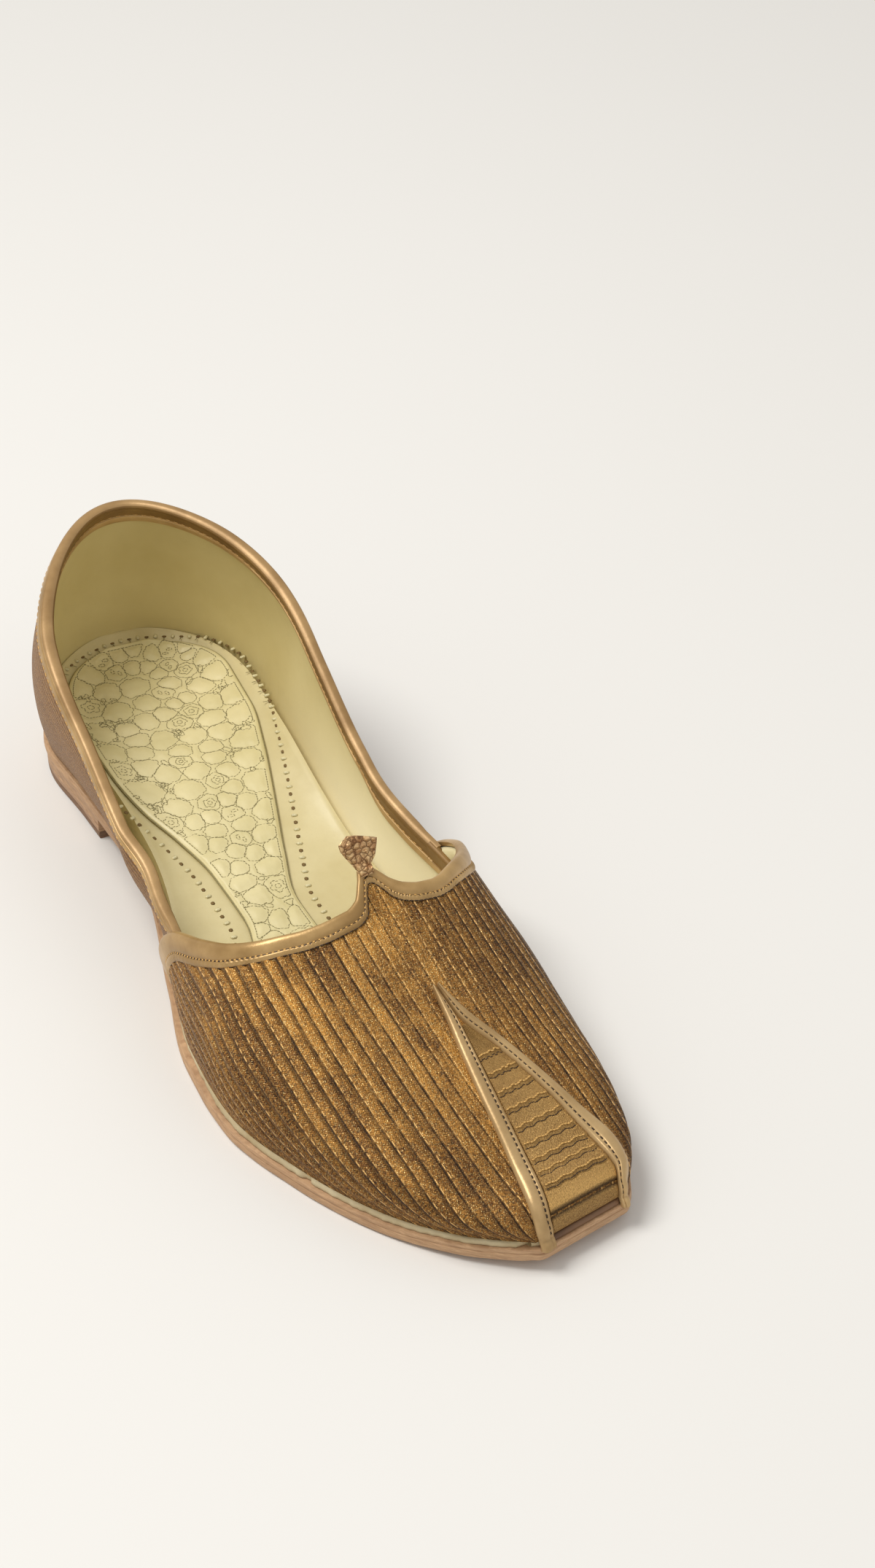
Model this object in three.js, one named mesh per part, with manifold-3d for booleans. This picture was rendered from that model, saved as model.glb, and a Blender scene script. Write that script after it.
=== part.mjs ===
// Mojari shoe, right foot: a hollow upper on a thin leather sole with a low stacked heel.
// Millimetres, +Y to the toe, +X to the outer side of the foot, +Z up, floor at z = 0.
import * as THREE from 'three';
import Module from 'manifold-3d';

const wasm = await Module();
wasm.setup();

// Main sizes.
const SHOE_LEN = 256;        // heel back to toe front, along the edge where upper meets sole
const BALL_HALF = 46.8;      // widest half width, outer side, at the ball of the foot
const FOOT_BEND = 9;         // sideways swing of the centre line towards the inner toe
const COLLAR_BACK_H = 69;    // collar height over the floor at the heel
const THROAT_H = 54.3;       // height of the vamp ridge at the throat peak
const GAP = 0.3;             // clearance between pieces that lie on each other
const CURVE_GAP = 0.42;      // the same where both pieces are curved
const BIND_GAP = 0.55;       // the same under the bindings and the pad

// Sole and heel.
const HEEL_LIFT = 7;         // stack under the sole at the heel
const TOP_PIECE_T = 2.2;     // lowest layer of the stack
const HEEL_END = 0.24;       // front face of the heel, share of the length
const SHANK_END = 0.6;       // where the sole comes down to the floor
const SPRING_FROM = 0.84;    // where the toe starts to rise
const TOE_SPRING = 3;        // rise of the sole at the tip
const SOLE_T = 3.6;          // sole thickness
const SOLE_EDGE_FORE = 1.9;  // how far the sole stands out at the forepart
const SOLE_EDGE_HEEL = 0.8;  // how far it stands out at the heel
const EDGE_BEVEL = 0.7;      // worn lower edge of the sole
const EDGE_GROOVE = 0.4;     // groove between the two leathers of the sole edge
const TOE_CORNER_R = 4;      // rounding of the square toe in plan
const HEEL_ROUND = 0.15;     // length of the heel rounding at the sole
const HEEL_POWER = 2.2;      // fullness of the heel rounding at the sole
const COLLAR_ROUND = 0.25;   // length of the heel rounding at the collar
const COLLAR_POWER = 2;      // fullness of the heel rounding at the collar

// Rand, insole and pad.
const RAND_T = 1.2;          // cream strip between upper and sole
const RAND_OUT = 1.1;        // how far it stands out past the upper
const RAND_IN = 1.5;         // how far it reaches under the upper
const RAND_FROM = 0.34;      // where it starts behind the forepart
const RAND_RAMP = 0.1;       // share of the length over which it takes its full height
const INSOLE_T_HEEL = 6.5;   // insole at the heel
const INSOLE_T_TOE = 2;      // insole at the tip
const INSOLE_CUP = 5.5;      // how far the insole edge rises round the heel
const INSOLE_CUP_END = 0.55; // where that rise has run out
const INSOLE_CUP_RUN = 34;   // how far in from the back it starts
const SIDE_CLEAR = 0.7;      // between insole and the inside of the upper
const PAD_T = 2;             // quilted pad
const PAD_FROM = 0.028;      // pad, back end
const PAD_TO = 0.72;         // pad, front end
const PAD_ROUND = 0.09;      // length of the rounding at each pad end
const PAD_EDGE = 0.8;        // soft edge of the pad

// Upper.
const WALL = 2;              // leather, cloth and lining together
const HEEL_LEAN = 6;         // how far the collar leans forward at the back
const LEAN_FROM = 0.35;      // height share where that lean starts
const QUARTER_BULGE = 4;     // fullness of the side wall between sole and collar
const QUARTER_END = 0.6;     // front end of the side wall, hidden under the vamp
const LAP = 1;               // the vamp lies this far over the side wall
const LAP_LIFT = 0.4;        // its lower edge under the vamp stays this much higher
const LAP_FROM = 0.4;        // where the side wall starts to turn in for the vamp
const LAP_TO = 0.475;        // where it has its place under the vamp
const VAMP_BULGE = 2.4;      // fullness of the vamp side over a plain arch
const SWELL_OUTER = 5.2;     // extra fullness beside the throat, outer side
const SWELL_INNER = 4.5;     // the same, inner side
const TOE_FACE = 0.965;      // where the ridge rolls over into the toe face
const TOE_ROLL = 2.6;        // squareness of that roll

// Bindings, finial and toe trim.
const BIND_T = 0.9;          // binding leather
const COLLAR_BIND_OUT = 3.6; // outer leg of the collar binding
const COLLAR_BIND_IN = 5.5;  // inner facing of the collar binding
const COLLAR_BIND_TO = 0.518; // its outer leg stops behind the vamp
const FACING_TO = 0.575;     // its facing runs on inside
const THROAT_BIND_OUT = 6;   // outer leg of the throat binding, at its widest
const THROAT_BIND_IN = 5;    // its inner facing
const THROAT_ROLL = 1.5;     // its roll stands out behind the edge
const FINIAL_LEN = 9.6;      // leather tab on the throat peak
const FINIAL_HALF = 5.1;     // its half width at the widest place
const FINIAL_T = 1.9;        // its thickness
const FINIAL_DROP = 0.05;    // its wings fall away to the sides
const FINIAL_SEAT = 3.0;     // it starts this far ahead of the peak
const STRAP_T = 1.3;         // toe straps
const PANEL_T = 0.7;         // toe panel between the straps
const PANEL_FROM = 0.814;    // tip of the toe panel
const STRAP_FROM = 0.77;     // tip of the toe straps

// Edge where upper meets sole: half widths as shares of BALL_HALF.
const OUTLINE = {
  at:    [0, 0.1, 0.2, 0.35, 0.5, 0.6, 0.7, 0.8, 0.88, 0.95, 1],
  outer: [0.662, 0.669, 0.609, 0.566, 0.763, 0.936, 1, 0.889, 0.729, 0.504, 0.267],
  inner: [0.641, 0.645, 0.643, 0.62, 0.709, 0.799, 0.825, 0.75, 0.656, 0.509, 0.323],
};
// Collar: half widths as shares of BALL_HALF, height as share of COLLAR_BACK_H.
const COLLAR = {
  at:    [0, 0.05, 0.11, 0.2, 0.3, 0.4, 0.48, 0.56, 0.62],
  outer: [0.609, 0.645, 0.709, 0.778, 0.768, 0.785, 0.82, 0.85, 0.88],
  inner: [0.618, 0.66, 0.712, 0.746, 0.733, 0.724, 0.752, 0.812, 0.85],
  high:  [1, 0.988, 0.961, 0.87, 0.71, 0.539, 0.449, 0.403, 0.39],
};
// Ridge of the vamp: height as share of THROAT_H, and how square its section is.
const RIDGE = {
  at:     [0.45, 0.56, 0.644, 0.7, 0.8, 0.9, 0.96, 1],
  high:   [1.15, 1.087, 1, 0.858, 0.637, 0.446, 0.328, 0.287],
  square: [2.15, 2.15, 2.2, 2.25, 2.45, 3.05, 3.7, 4.5],
};
// Rear edge of the vamp: turn is the share of the half turn from outer to inner side.
const THROAT = {
  turn: [0, 0.07, 0.145, 0.2, 0.245, 0.295, 0.335, 0.38, 0.42, 0.45, 0.47, 0.484, 0.5,
    0.516, 0.53, 0.55, 0.58, 0.61, 0.635, 0.67, 0.71, 0.77, 0.83, 0.92, 1],
  at:   [0.492, 0.514, 0.548, 0.597, 0.631, 0.655, 0.667, 0.677, 0.681, 0.6815, 0.677, 0.664, 0.647,
    0.658, 0.669, 0.676, 0.679, 0.678, 0.674, 0.664, 0.65, 0.622, 0.579, 0.518, 0.492],
};
// Outer leg of the throat binding: its width as share of THROAT_BIND_OUT.
const THROAT_LEG = {
  turn:  [0.1, 0.17, 0.23, 0.28, 0.34, 0.46, 0.5, 0.54, 0.64, 0.71, 0.77, 0.83, 0.9],
  share: [1, 0.92, 0.8, 0.66, 0.58, 0.56, 0.68, 0.52, 0.56, 0.68, 0.82, 0.92, 1],
};
// Edges of the toe straps: sideways places as shares of BALL_HALF, outer side positive.
const STRAPS = {
  at:       [0.77, 0.8, 0.84, 0.88, 0.92, 0.96, 0.985, 1],
  outerOut: [-0.008, 0.019, 0.066, 0.111, 0.152, 0.202, 0.236, 0.25],
  outerIn:  [-0.026, -0.037, -0.013, 0.021, 0.058, 0.098, 0.136, 0.165],
  innerIn:  [-0.034, -0.044, -0.13, -0.2, -0.25, -0.283, -0.29, -0.262],
  innerOut: [-0.052, -0.105, -0.197, -0.271, -0.335, -0.391, -0.366, -0.312],
};
// Quilted pad: half widths as shares of BALL_HALF; it narrows at the waist.
const PAD = {
  at:    [0.028, 0.113, 0.183, 0.252, 0.301, 0.349, 0.407, 0.474, 0.543, 0.62, 0.72],
  outer: [0.46, 0.49, 0.514, 0.506, 0.451, 0.342, 0.259, 0.241, 0.353, 0.513, 0.534],
  inner: [0.469, 0.51, 0.503, 0.435, 0.365, 0.287, 0.187, 0.092, 0.103, 0.278, 0.363],
};
// Finial from stem to end: back and rise as shares of its length, then shares of its half width.
const FINIAL = {
  back: [0, 0.23, 0.345, 0.45, 0.53, 0.585],
  rise: [0, 0.11, 0.3, 0.54, 0.78, 1],
  outer: [0.34, 0.4, 0.575, 0.79, 0.97, 1],
  inner: [0.34, 0.4, 0.76, 0.87, 0.96, 1],
};
// Its end has a notch between two points: how far each column reaches along the last rows.
const FINIAL_END = [0.72, 0.83, 0.925, 1, 0.85];

// Small maths.
const clamp = (v, lo, hi) => Math.min(hi, Math.max(lo, v));
const mix = (a, b, k) => a + (b - a) * k;
const smooth = (lo, hi, v) => {
  const k = clamp((v - lo) / (hi - lo), 0, 1);
  return k * k * (3 - 2 * k);
};

// Smooth curve through a table without overshoot.
function curve(xs, ys) {
  const n = xs.length;
  const h = [];
  const d = [];
  for (let i = 0; i < n - 1; i += 1) {
    h.push(xs[i + 1] - xs[i]);
    d.push((ys[i + 1] - ys[i]) / h[i]);
  }
  const m = [d[0]];
  for (let i = 1; i < n - 1; i += 1) {
    const w1 = 2 * h[i] + h[i - 1];
    const w2 = h[i] + 2 * h[i - 1];
    m.push(d[i - 1] * d[i] <= 0 ? 0 : (w1 + w2) / (w1 / d[i - 1] + w2 / d[i]));
  }
  m.push(d[n - 2]);
  return (x) => {
    const q = clamp(x, xs[0], xs[n - 1]);
    let i = 0;
    while (i < n - 2 && q > xs[i + 1]) i += 1;
    const t = (q - xs[i]) / h[i];
    const t2 = t * t;
    const t3 = t2 * t;
    return (2 * t3 - 3 * t2 + 1) * ys[i] + (t3 - 2 * t2 + t) * h[i] * m[i]
      + (3 * t2 - 2 * t3) * ys[i + 1] + (t3 - t2) * h[i] * m[i + 1];
  };
}

const outlineOuter = curve(OUTLINE.at, OUTLINE.outer);
const outlineInner = curve(OUTLINE.at, OUTLINE.inner);
const collarOuter = curve(COLLAR.at, COLLAR.outer);
const collarInner = curve(COLLAR.at, COLLAR.inner);
const collarHigh = curve(COLLAR.at, COLLAR.high);
const ridgeHigh = curve(RIDGE.at, RIDGE.high);
const ridgeSquare = curve(RIDGE.at, RIDGE.square);
const throatAt = curve(THROAT.turn, THROAT.at);
const throatLeg = curve(THROAT_LEG.turn, THROAT_LEG.share);
const padOuter = curve(PAD.at, PAD.outer);
const padInner = curve(PAD.at, PAD.inner);
const strapEdge = {
  outerOut: curve(STRAPS.at, STRAPS.outerOut),
  outerIn: curve(STRAPS.at, STRAPS.outerIn),
  innerIn: curve(STRAPS.at, STRAPS.innerIn),
  innerOut: curve(STRAPS.at, STRAPS.innerOut),
};

// Place a point from its share of the length, its sideways distance and its height.
function place(s, x, z) {
  const slope = 4 * FOOT_BEND * (1 - 2 * s) / SHOE_LEN;
  const k = Math.hypot(1, slope);
  return [4 * FOOT_BEND * s * (1 - s) + x / k, s * SHOE_LEN - x * slope / k, z];
}

function baseHalf(s, side) {
  return BALL_HALF * (side > 0 ? outlineOuter(s) : outlineInner(s));
}

function roundEnd(u, power) {
  return (1 - (1 - clamp(u, 0, 1)) ** power) ** (1 / power);
}

// Heights of the sole and of the lower edge of the upper.
function soleBottom(s) {
  const fall = 1 - smooth(HEEL_END, SHANK_END, s);
  return HEEL_LIFT * fall + TOE_SPRING * clamp((s - SPRING_FROM) / (1 - SPRING_FROM), 0, 1.02) ** 2;
}

function soleTop(s) {
  return soleBottom(s) + SOLE_T;
}

function randShare(s) {
  return smooth(RAND_FROM - RAND_RAMP, RAND_FROM + RAND_RAMP * 0.4, s);
}

function footLine(s) {
  return soleTop(s) + GAP + (RAND_T + GAP) * randShare(s);
}

// Surfaces of the upper; inset is measured inwards from the outer face.
function vampBulge(s, share, side) {
  const outer = SWELL_OUTER * (1 - smooth(0.46, 0.6, s));
  const inner = SWELL_INNER * (1 - smooth(0.52, 0.68, s));
  const extra = side > 0 ? outer : inner;
  return (VAMP_BULGE + extra) * Math.sin(Math.PI * clamp(share, 0, 1) ** 1.3);
}

function vampHalf(s, share, side, inset) {
  const n = ridgeSquare(s);
  const arch = (1 - clamp(share, 0, 1) ** n) ** (1 / n);
  return (baseHalf(s, side) - inset) * arch + vampBulge(s, share, side);
}

// run 0 to 1 goes from the start to the toe roll, 1 to 2 down the toe face.
function alongToe(start, run, inset) {
  if (run <= 1) return { s: mix(start, TOE_FACE, run), keep: 1 };
  const a = (run - 1) * Math.PI / 2;
  const reach = 1 - TOE_FACE - inset / SHOE_LEN;
  const s = TOE_FACE + reach * Math.sin(a) ** (2 / TOE_ROLL);
  return { s, keep: Math.max(Math.cos(a), 0) ** (2 / TOE_ROLL) };
}

function vampRise(spot, inset) {
  return (THROAT_H * ridgeHigh(spot.s) - inset - footLine(spot.s)) * spot.keep;
}

// Point of the vamp by turn: 0 is the outer foot line, 0.5 the ridge, 1 the inner foot line.
function vampByTurn(spot, turn, inset) {
  const a = Math.PI * turn;
  const share = Math.abs(Math.sin(a)) ** (2 / ridgeSquare(spot.s));
  const side = turn <= 0.5 ? 1 : -1;
  const rise = vampRise(spot, inset);
  const bulgeKeep = clamp(rise / 12, 0, 1);
  const n = ridgeSquare(spot.s);
  const arch = Math.abs(Math.cos(a)) ** (2 / n);
  const bulge = vampBulge(spot.s, share, side) * bulgeKeep;
  const x = side * ((baseHalf(spot.s, side) - inset) * (Math.abs(turn - 0.5) < 1e-9 ? 0 : arch)
    + (Math.abs(turn - 0.5) < 1e-9 ? 0 : bulge));
  return place(spot.s, x, footLine(spot.s) + rise * share);
}

// Point of the vamp by its sideways distance, for straps and panel near the ridge.
function vampByWidth(spot, x, inset) {
  const side = x >= 0 ? 1 : -1;
  const half = baseHalf(spot.s, side) - inset;
  const n = ridgeSquare(spot.s);
  const e = clamp(Math.abs(x) / half, 0, 0.99);
  const share = (1 - e ** n) ** (1 / n);
  const rise = vampRise(spot, inset);
  const bulge = vampBulge(spot.s, share, side) * clamp(rise / 12, 0, 1);
  return place(spot.s, side * (e * half + bulge), footLine(spot.s) + rise * share);
}

// Point of the side wall: up is 0 at the sole and 1 at the collar.
function quarterPoint(q, up, side, inset, end = QUARTER_END) {
  const lean = HEEL_LEAN * clamp((up - LEAN_FROM) / (1 - LEAN_FROM), 0, 1.1) ** 2;
  const from = (lean + inset) / SHOE_LEN;
  const s = mix(from, end, q);
  const blend = smooth(LAP_FROM, LAP_TO, s);
  const low = footLine(s) + LAP_LIFT * blend;
  const z = mix(low, COLLAR_BACK_H * collarHigh(s), up);
  const k = clamp(up, 0, 1);
  const top = BALL_HALF * (side > 0 ? collarOuter(s) : collarInner(s));
  const fade = clamp(1.2 - 1.2 * s, 0, 1);
  const free = mix(baseHalf(s, side), top, k) + QUARTER_BULGE * 4 * k * (1 - k) * fade - inset;
  const rounding = mix(HEEL_ROUND, COLLAR_ROUND, k);
  const own = free * roundEnd((s - from) / rounding, mix(HEEL_POWER, COLLAR_POWER, k));
  if (blend <= 0) return place(s, side * own, z);
  const share = (z - low) / (THROAT_H * ridgeHigh(s) - low);
  const under = vampHalf(s, share, side, 0) - LAP - inset;
  return place(s, side * mix(own, under, blend), z);
}

// Solids from grids of points.
const keyOf = (p) => `${Math.round(p[0] * 2e4)},${Math.round(p[1] * 2e4)},${Math.round(p[2] * 2e4)}`;

// Weld triangles into one closed body that faces out.
function bodyOf(tris) {
  const index = new Map();
  const verts = [];
  const faces = [];
  const idOf = (p) => {
    const k = keyOf(p);
    if (!index.has(k)) {
      index.set(k, verts.length / 3);
      verts.push(p[0], p[1], p[2]);
    }
    return index.get(k);
  };
  for (const t of tris) {
    const [a, b, c] = t.map(idOf);
    if (a !== b && b !== c && c !== a) faces.push(a, b, c);
  }
  let volume = 0;
  for (let i = 0; i < faces.length; i += 3) {
    const [a, b, c] = [faces[i], faces[i + 1], faces[i + 2]].map((k) => verts.slice(3 * k, 3 * k + 3));
    volume += a[0] * (b[1] * c[2] - b[2] * c[1]) + a[1] * (b[2] * c[0] - b[0] * c[2])
      + a[2] * (b[0] * c[1] - b[1] * c[0]);
  }
  if (volume < 0) {
    for (let i = 0; i < faces.length; i += 3) {
      const keep = faces[i];
      faces[i] = faces[i + 1];
      faces[i + 1] = keep;
    }
  }
  const mesh = new wasm.Mesh({
    numProp: 3,
    vertProperties: new Float32Array(verts),
    triVerts: new Uint32Array(faces),
  });
  return new wasm.Manifold(mesh);
}

function quad(out, a, b, c, d) {
  out.push([a, b, c], [a, c, d]);
}

// Two sheets of points, grid[i][j], closed along their four borders.
function shell(outer, inner) {
  const tris = [];
  const I = outer.length - 1;
  const J = outer[0].length - 1;
  for (let i = 0; i < I; i += 1) {
    for (let j = 0; j < J; j += 1) {
      quad(tris, outer[i][j], outer[i + 1][j], outer[i + 1][j + 1], outer[i][j + 1]);
      quad(tris, inner[i][j], inner[i][j + 1], inner[i + 1][j + 1], inner[i + 1][j]);
    }
  }
  for (let i = 0; i < I; i += 1) {
    quad(tris, outer[i][0], inner[i][0], inner[i + 1][0], outer[i + 1][0]);
    quad(tris, outer[i + 1][J], inner[i + 1][J], inner[i][J], outer[i][J]);
  }
  for (let j = 0; j < J; j += 1) {
    quad(tris, outer[0][j + 1], inner[0][j + 1], inner[0][j], outer[0][j]);
    quad(tris, outer[I][j], inner[I][j], inner[I][j + 1], outer[I][j + 1]);
  }
  return bodyOf(tris);
}

// Rings of points with one flat profile, closed by a cap at each end.
function sweep(rings, profile) {
  const tris = [];
  const n = profile.length;
  for (let i = 0; i < rings.length - 1; i += 1) {
    for (let j = 0; j < n; j += 1) {
      const k = (j + 1) % n;
      quad(tris, rings[i][j], rings[i + 1][j], rings[i + 1][k], rings[i][k]);
    }
  }
  const flat = profile.map((p) => new THREE.Vector2(p[0], p[1]));
  const turned = THREE.ShapeUtils.area(flat) < 0;
  const first = rings[0];
  const last = rings[rings.length - 1];
  for (const f of THREE.ShapeUtils.triangulateShape(flat, [])) {
    const [a, b, c] = turned ? [f[0], f[2], f[1]] : f;
    tris.push([first[a], first[b], first[c]], [last[a], last[c], last[b]]);
  }
  return bodyOf(tris);
}

// Stacked levels of one plan shape; each level is a grid of points.
function stack(levels) {
  const tris = [];
  const I = levels[0].length - 1;
  const J = levels[0][0].length - 1;
  const low = levels[0];
  const top = levels[levels.length - 1];
  for (let i = 0; i < I; i += 1) {
    for (let j = 0; j < J; j += 1) {
      quad(tris, low[i][j], low[i][j + 1], low[i + 1][j + 1], low[i + 1][j]);
      quad(tris, top[i][j], top[i + 1][j], top[i + 1][j + 1], top[i][j + 1]);
    }
  }
  const rim = [];
  for (let i = 0; i <= I; i += 1) rim.push([i, J]);
  for (let j = J - 1; j >= 0; j -= 1) rim.push([I, j]);
  for (let i = I - 1; i >= 0; i -= 1) rim.push([i, 0]);
  for (let j = 1; j < J; j += 1) rim.push([0, j]);
  for (let k = 0; k < levels.length - 1; k += 1) {
    for (let r = 0; r < rim.length; r += 1) {
      const [i, j] = rim[r];
      const [p, q] = rim[(r + 1) % rim.length];
      quad(tris, levels[k][i][j], levels[k + 1][i][j], levels[k + 1][p][q], levels[k][p][q]);
    }
  }
  return bodyOf(tris);
}

// Shares of a length, closer together at both ends.
function shares(n, startPower, endPower) {
  const list = [];
  for (let i = 0; i <= n; i += 1) {
    const k = i / n;
    list.push(k < 0.5 ? 0.5 * (2 * k) ** startPower : 1 - 0.5 * (2 - 2 * k) ** endPower);
  }
  return list;
}

// Half width of a sole layer that is grow wider than the foot line.
function layerHalf(s, side, grow) {
  const first = -grow / SHOE_LEN;
  const last = 1 + grow / SHOE_LEN;
  const half = (baseHalf(s, side) + grow) * roundEnd((s - first) / HEEL_ROUND, HEEL_POWER);
  const near = clamp((last - s) * SHOE_LEN / TOE_CORNER_R, 0, 1);
  return half - TOE_CORNER_R * (1 - Math.sqrt(1 - (1 - near) ** 2));
}

// Grid of points over a layer that ends at the share called to; rho runs from -1 to 1 across it.
function layerGrid(list, to, columns, growOf, heightOf) {
  return list.map((k) => {
    const grow = growOf(k * to);
    const last = to < 1 ? to : 1 + grow / SHOE_LEN;
    const s = mix(-growOf(0) / SHOE_LEN, last, k);
    const row = [];
    for (let j = 0; j <= columns; j += 1) {
      const rho = 2 * j / columns - 1;
      const side = rho >= 0 ? 1 : -1;
      row.push(place(s, side * Math.abs(rho) * layerHalf(s, side, grow), heightOf(s, rho)));
    }
    return row;
  });
}

// The pieces.
function soleEdge(s) {
  return mix(SOLE_EDGE_HEEL, SOLE_EDGE_FORE, smooth(0.3, 0.6, s));
}

function makeOutsole() {
  const list = shares(34, 2.1, 1.7);
  const steps = [
    [-EDGE_BEVEL, 0], [0, 0.22], [0, 0.6], [-EDGE_GROOVE, 0.66], [-EDGE_GROOVE, 0.74],
    [-EDGE_GROOVE * 0.25, 0.8], [-EDGE_GROOVE * 0.6, 1],
  ];
  return stack(steps.map(([out, up]) => layerGrid(list, 1, 4, (s) => soleEdge(s) + out,
    (s) => soleBottom(s) + SOLE_T * up)));
}

function makeHeelLayer(low, high) {
  const list = shares(16, 2.4, 1);
  const grow = SOLE_EDGE_HEEL - 0.5;
  const steps = [[grow - 0.3, low], [grow, mix(low, high, 0.25)], [grow, high]];
  return stack(steps.map(([out, z]) => layerGrid(list, HEEL_END, 4, () => out, () => z)));
}

// Strip that follows the foot line from one waist round the toe to the other.
function makeRand() {
  const marks = [];
  const n = 34;
  for (let i = 0; i <= n; i += 1) marks.push(mix(RAND_FROM, 1, 1 - (1 - i / n) ** 1.25));
  const profile = [[-RAND_IN, 0], [RAND_OUT, 0], [RAND_OUT + 0.2, 0.5], [RAND_OUT - 0.1, 1], [-RAND_IN, 1]];
  const at = (mark, side, across, grow, up) => {
    const s = mark * (1 + grow / SHOE_LEN);
    const z = mix(soleTop(s) + GAP, footLine(s) - GAP, up);
    return place(s, side * across * layerHalf(s, side, grow), z);
  };
  const rings = [];
  for (const m of marks) rings.push(profile.map(([g, up]) => at(m, 1, 1, g, up)));
  for (let c = 1; c < 8; c += 1) {
    const k = 1 - c / 4;
    rings.push(profile.map(([g, up]) => at(1, k >= 0 ? 1 : -1, Math.abs(k), g, up)));
  }
  for (const m of marks.slice().reverse()) rings.push(profile.map(([g, up]) => at(m, -1, 1, g, up)));
  return sweep(rings, profile);
}

// The insole steps in where the side wall lies under the vamp.
function insoleGrow(s) {
  const begin = smooth(LAP_FROM - 0.05, LAP_TO - 0.03, s);
  const end = 1 - smooth(QUARTER_END + 0.02, QUARTER_END + 0.08, s);
  return -WALL - SIDE_CLEAR - LAP * begin * end;
}

function insoleTop(s, rho) {
  const thick = mix(INSOLE_T_HEEL, INSOLE_T_TOE, smooth(0.12, 0.75, s));
  const cup = INSOLE_CUP * (1 - smooth(HEEL_END, INSOLE_CUP_END, s));
  const back = clamp(1 - (s * SHOE_LEN - WALL - SIDE_CLEAR) / INSOLE_CUP_RUN, 0, 1);
  const low = (1 - Math.abs(rho) ** 4) * (1 - back ** 4);
  return soleTop(s) + GAP + thick + cup * (1 - low);
}

function makeInsole() {
  const list = shares(24, 2.1, 1.7);
  return stack([
    layerGrid(list, 1, 10, insoleGrow, (s) => soleTop(s) + GAP),
    layerGrid(list, 1, 10, insoleGrow, (s, rho) => insoleTop(s, rho)),
  ]);
}

function padHalf(s, side, shrink) {
  const ends = roundEnd((s - PAD_FROM) / PAD_ROUND, 2.3) * roundEnd((PAD_TO - s) / PAD_ROUND, 2.3);
  return BALL_HALF * (side > 0 ? padOuter(s) : padInner(s)) * ends - shrink * (ends > 0 ? 1 : 0);
}

function makePad() {
  const list = shares(24, 2, 2);
  const grid = (shrink, lift) => list.map((k) => {
    const s = mix(PAD_FROM, PAD_TO, k);
    const row = [];
    for (let j = 0; j <= 6; j += 1) {
      const rho = j / 3 - 1;
      const side = rho >= 0 ? 1 : -1;
      const x = Math.abs(rho) * Math.max(padHalf(s, side, shrink), 0);
      const across = x / layerHalf(s, side, insoleGrow(s));
      row.push(place(s, side * x, insoleTop(s, across) + BIND_GAP + lift));
    }
    return row;
  });
  return stack([grid(0, 0), grid(0, PAD_T - PAD_EDGE), grid(PAD_EDGE, PAD_T)]);
}

// Stations of the side wall from the heel to its front end, shared by wall and binding.
const WALL_STATIONS = [];
for (let i = 0; i <= 32; i += 1) WALL_STATIONS.push((i / 32) ** 1.55);

// Stations round the vamp from the outer to the inner foot line, closer at the throat peak.
const TURN_HALF = [
  0, 0.03, 0.065, 0.1, 0.145, 0.19, 0.225, 0.26, 0.295, 0.33, 0.365, 0.4, 0.43, 0.452, 0.469, 0.484,
];
const TURNS = [...TURN_HALF, 0.5, ...TURN_HALF.map((v) => 1 - v).reverse()];

// Side walls of both sides with the heel, in one run from outer to inner front end.
function quarterSheet(inset, ups) {
  const row = (side) => (q) => ups.map((up) => quarterPoint(q, up, side, inset));
  return [...WALL_STATIONS.map(row(1)).reverse(), ...WALL_STATIONS.slice(1).map(row(-1))];
}

function vampSheet(inset) {
  const rows = [];
  const runs = [0, 0.04];
  for (let i = 1; i <= 11; i += 1) runs.push(i / 11);
  for (let i = 1; i <= 6; i += 1) runs.push(1 + i / 6);
  for (const run of runs) {
    rows.push(TURNS.map((turn) => vampByTurn(alongToe(throatAt(turn), run, inset), turn, inset)));
  }
  return rows;
}

function makeUpper() {
  const ups = [0, 0.16, 0.36, 0.58, 0.77, 0.9, 1];
  const quarters = shell(quarterSheet(0, ups), quarterSheet(WALL, ups));
  const vamp = shell(vampSheet(0), vampSheet(WALL));
  return quarters.add(vamp);
}

// Profile points hold height over the collar edge and inset from the outer face.
function makeCollarBinding() {
  const deep = WALL + BIND_GAP;
  const out = -BIND_GAP;
  const full = [
    [-COLLAR_BIND_OUT, out - BIND_T * 0.6], [-COLLAR_BIND_OUT + BIND_T, out - BIND_T],
    [GAP, out - BIND_T], [GAP + BIND_T * 1.2, WALL * 0.3], [GAP + BIND_T, deep - BIND_T * 0.2],
    [-BIND_T, deep + BIND_T * 0.8], [-COLLAR_BIND_IN, deep + BIND_T * 0.7],
    [-COLLAR_BIND_IN, deep], [GAP, deep], [GAP, out], [-COLLAR_BIND_OUT, out],
  ];
  const slim = BIND_T * 0.11;
  const facing = [
    [-BIND_T * 1.4, deep + slim], [-BIND_T * 1.4, deep + BIND_T * 0.7],
    [slim * 2 - COLLAR_BIND_IN, deep + BIND_T * 0.6], [slim * 2 - COLLAR_BIND_IN, deep + slim],
  ];
  const run = (profile, from, to, side) => {
    const stops = [from, ...WALL_STATIONS.filter((q) => q > from + 0.005 && q < to - 0.005), to];
    return stops.map((q) => profile.map(([rise, inset]) => {
      const s = Math.max(q * QUARTER_END, 0.02);
      const tall = COLLAR_BACK_H * collarHigh(s) - footLine(s);
      return quarterPoint(q, 1 + rise / tall, side, inset);
    }));
  };
  const stop = COLLAR_BIND_TO / QUARTER_END;
  const outer = run(full, 0, stop, 1).reverse();
  const inner = run(full, 0, stop, -1).slice(1);
  let body = sweep([...outer, ...inner], full);
  for (const side of [1, -1]) {
    body = body.add(sweep(run(facing, stop - 0.03, FACING_TO / QUARTER_END, side), facing));
  }
  return body;
}

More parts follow.
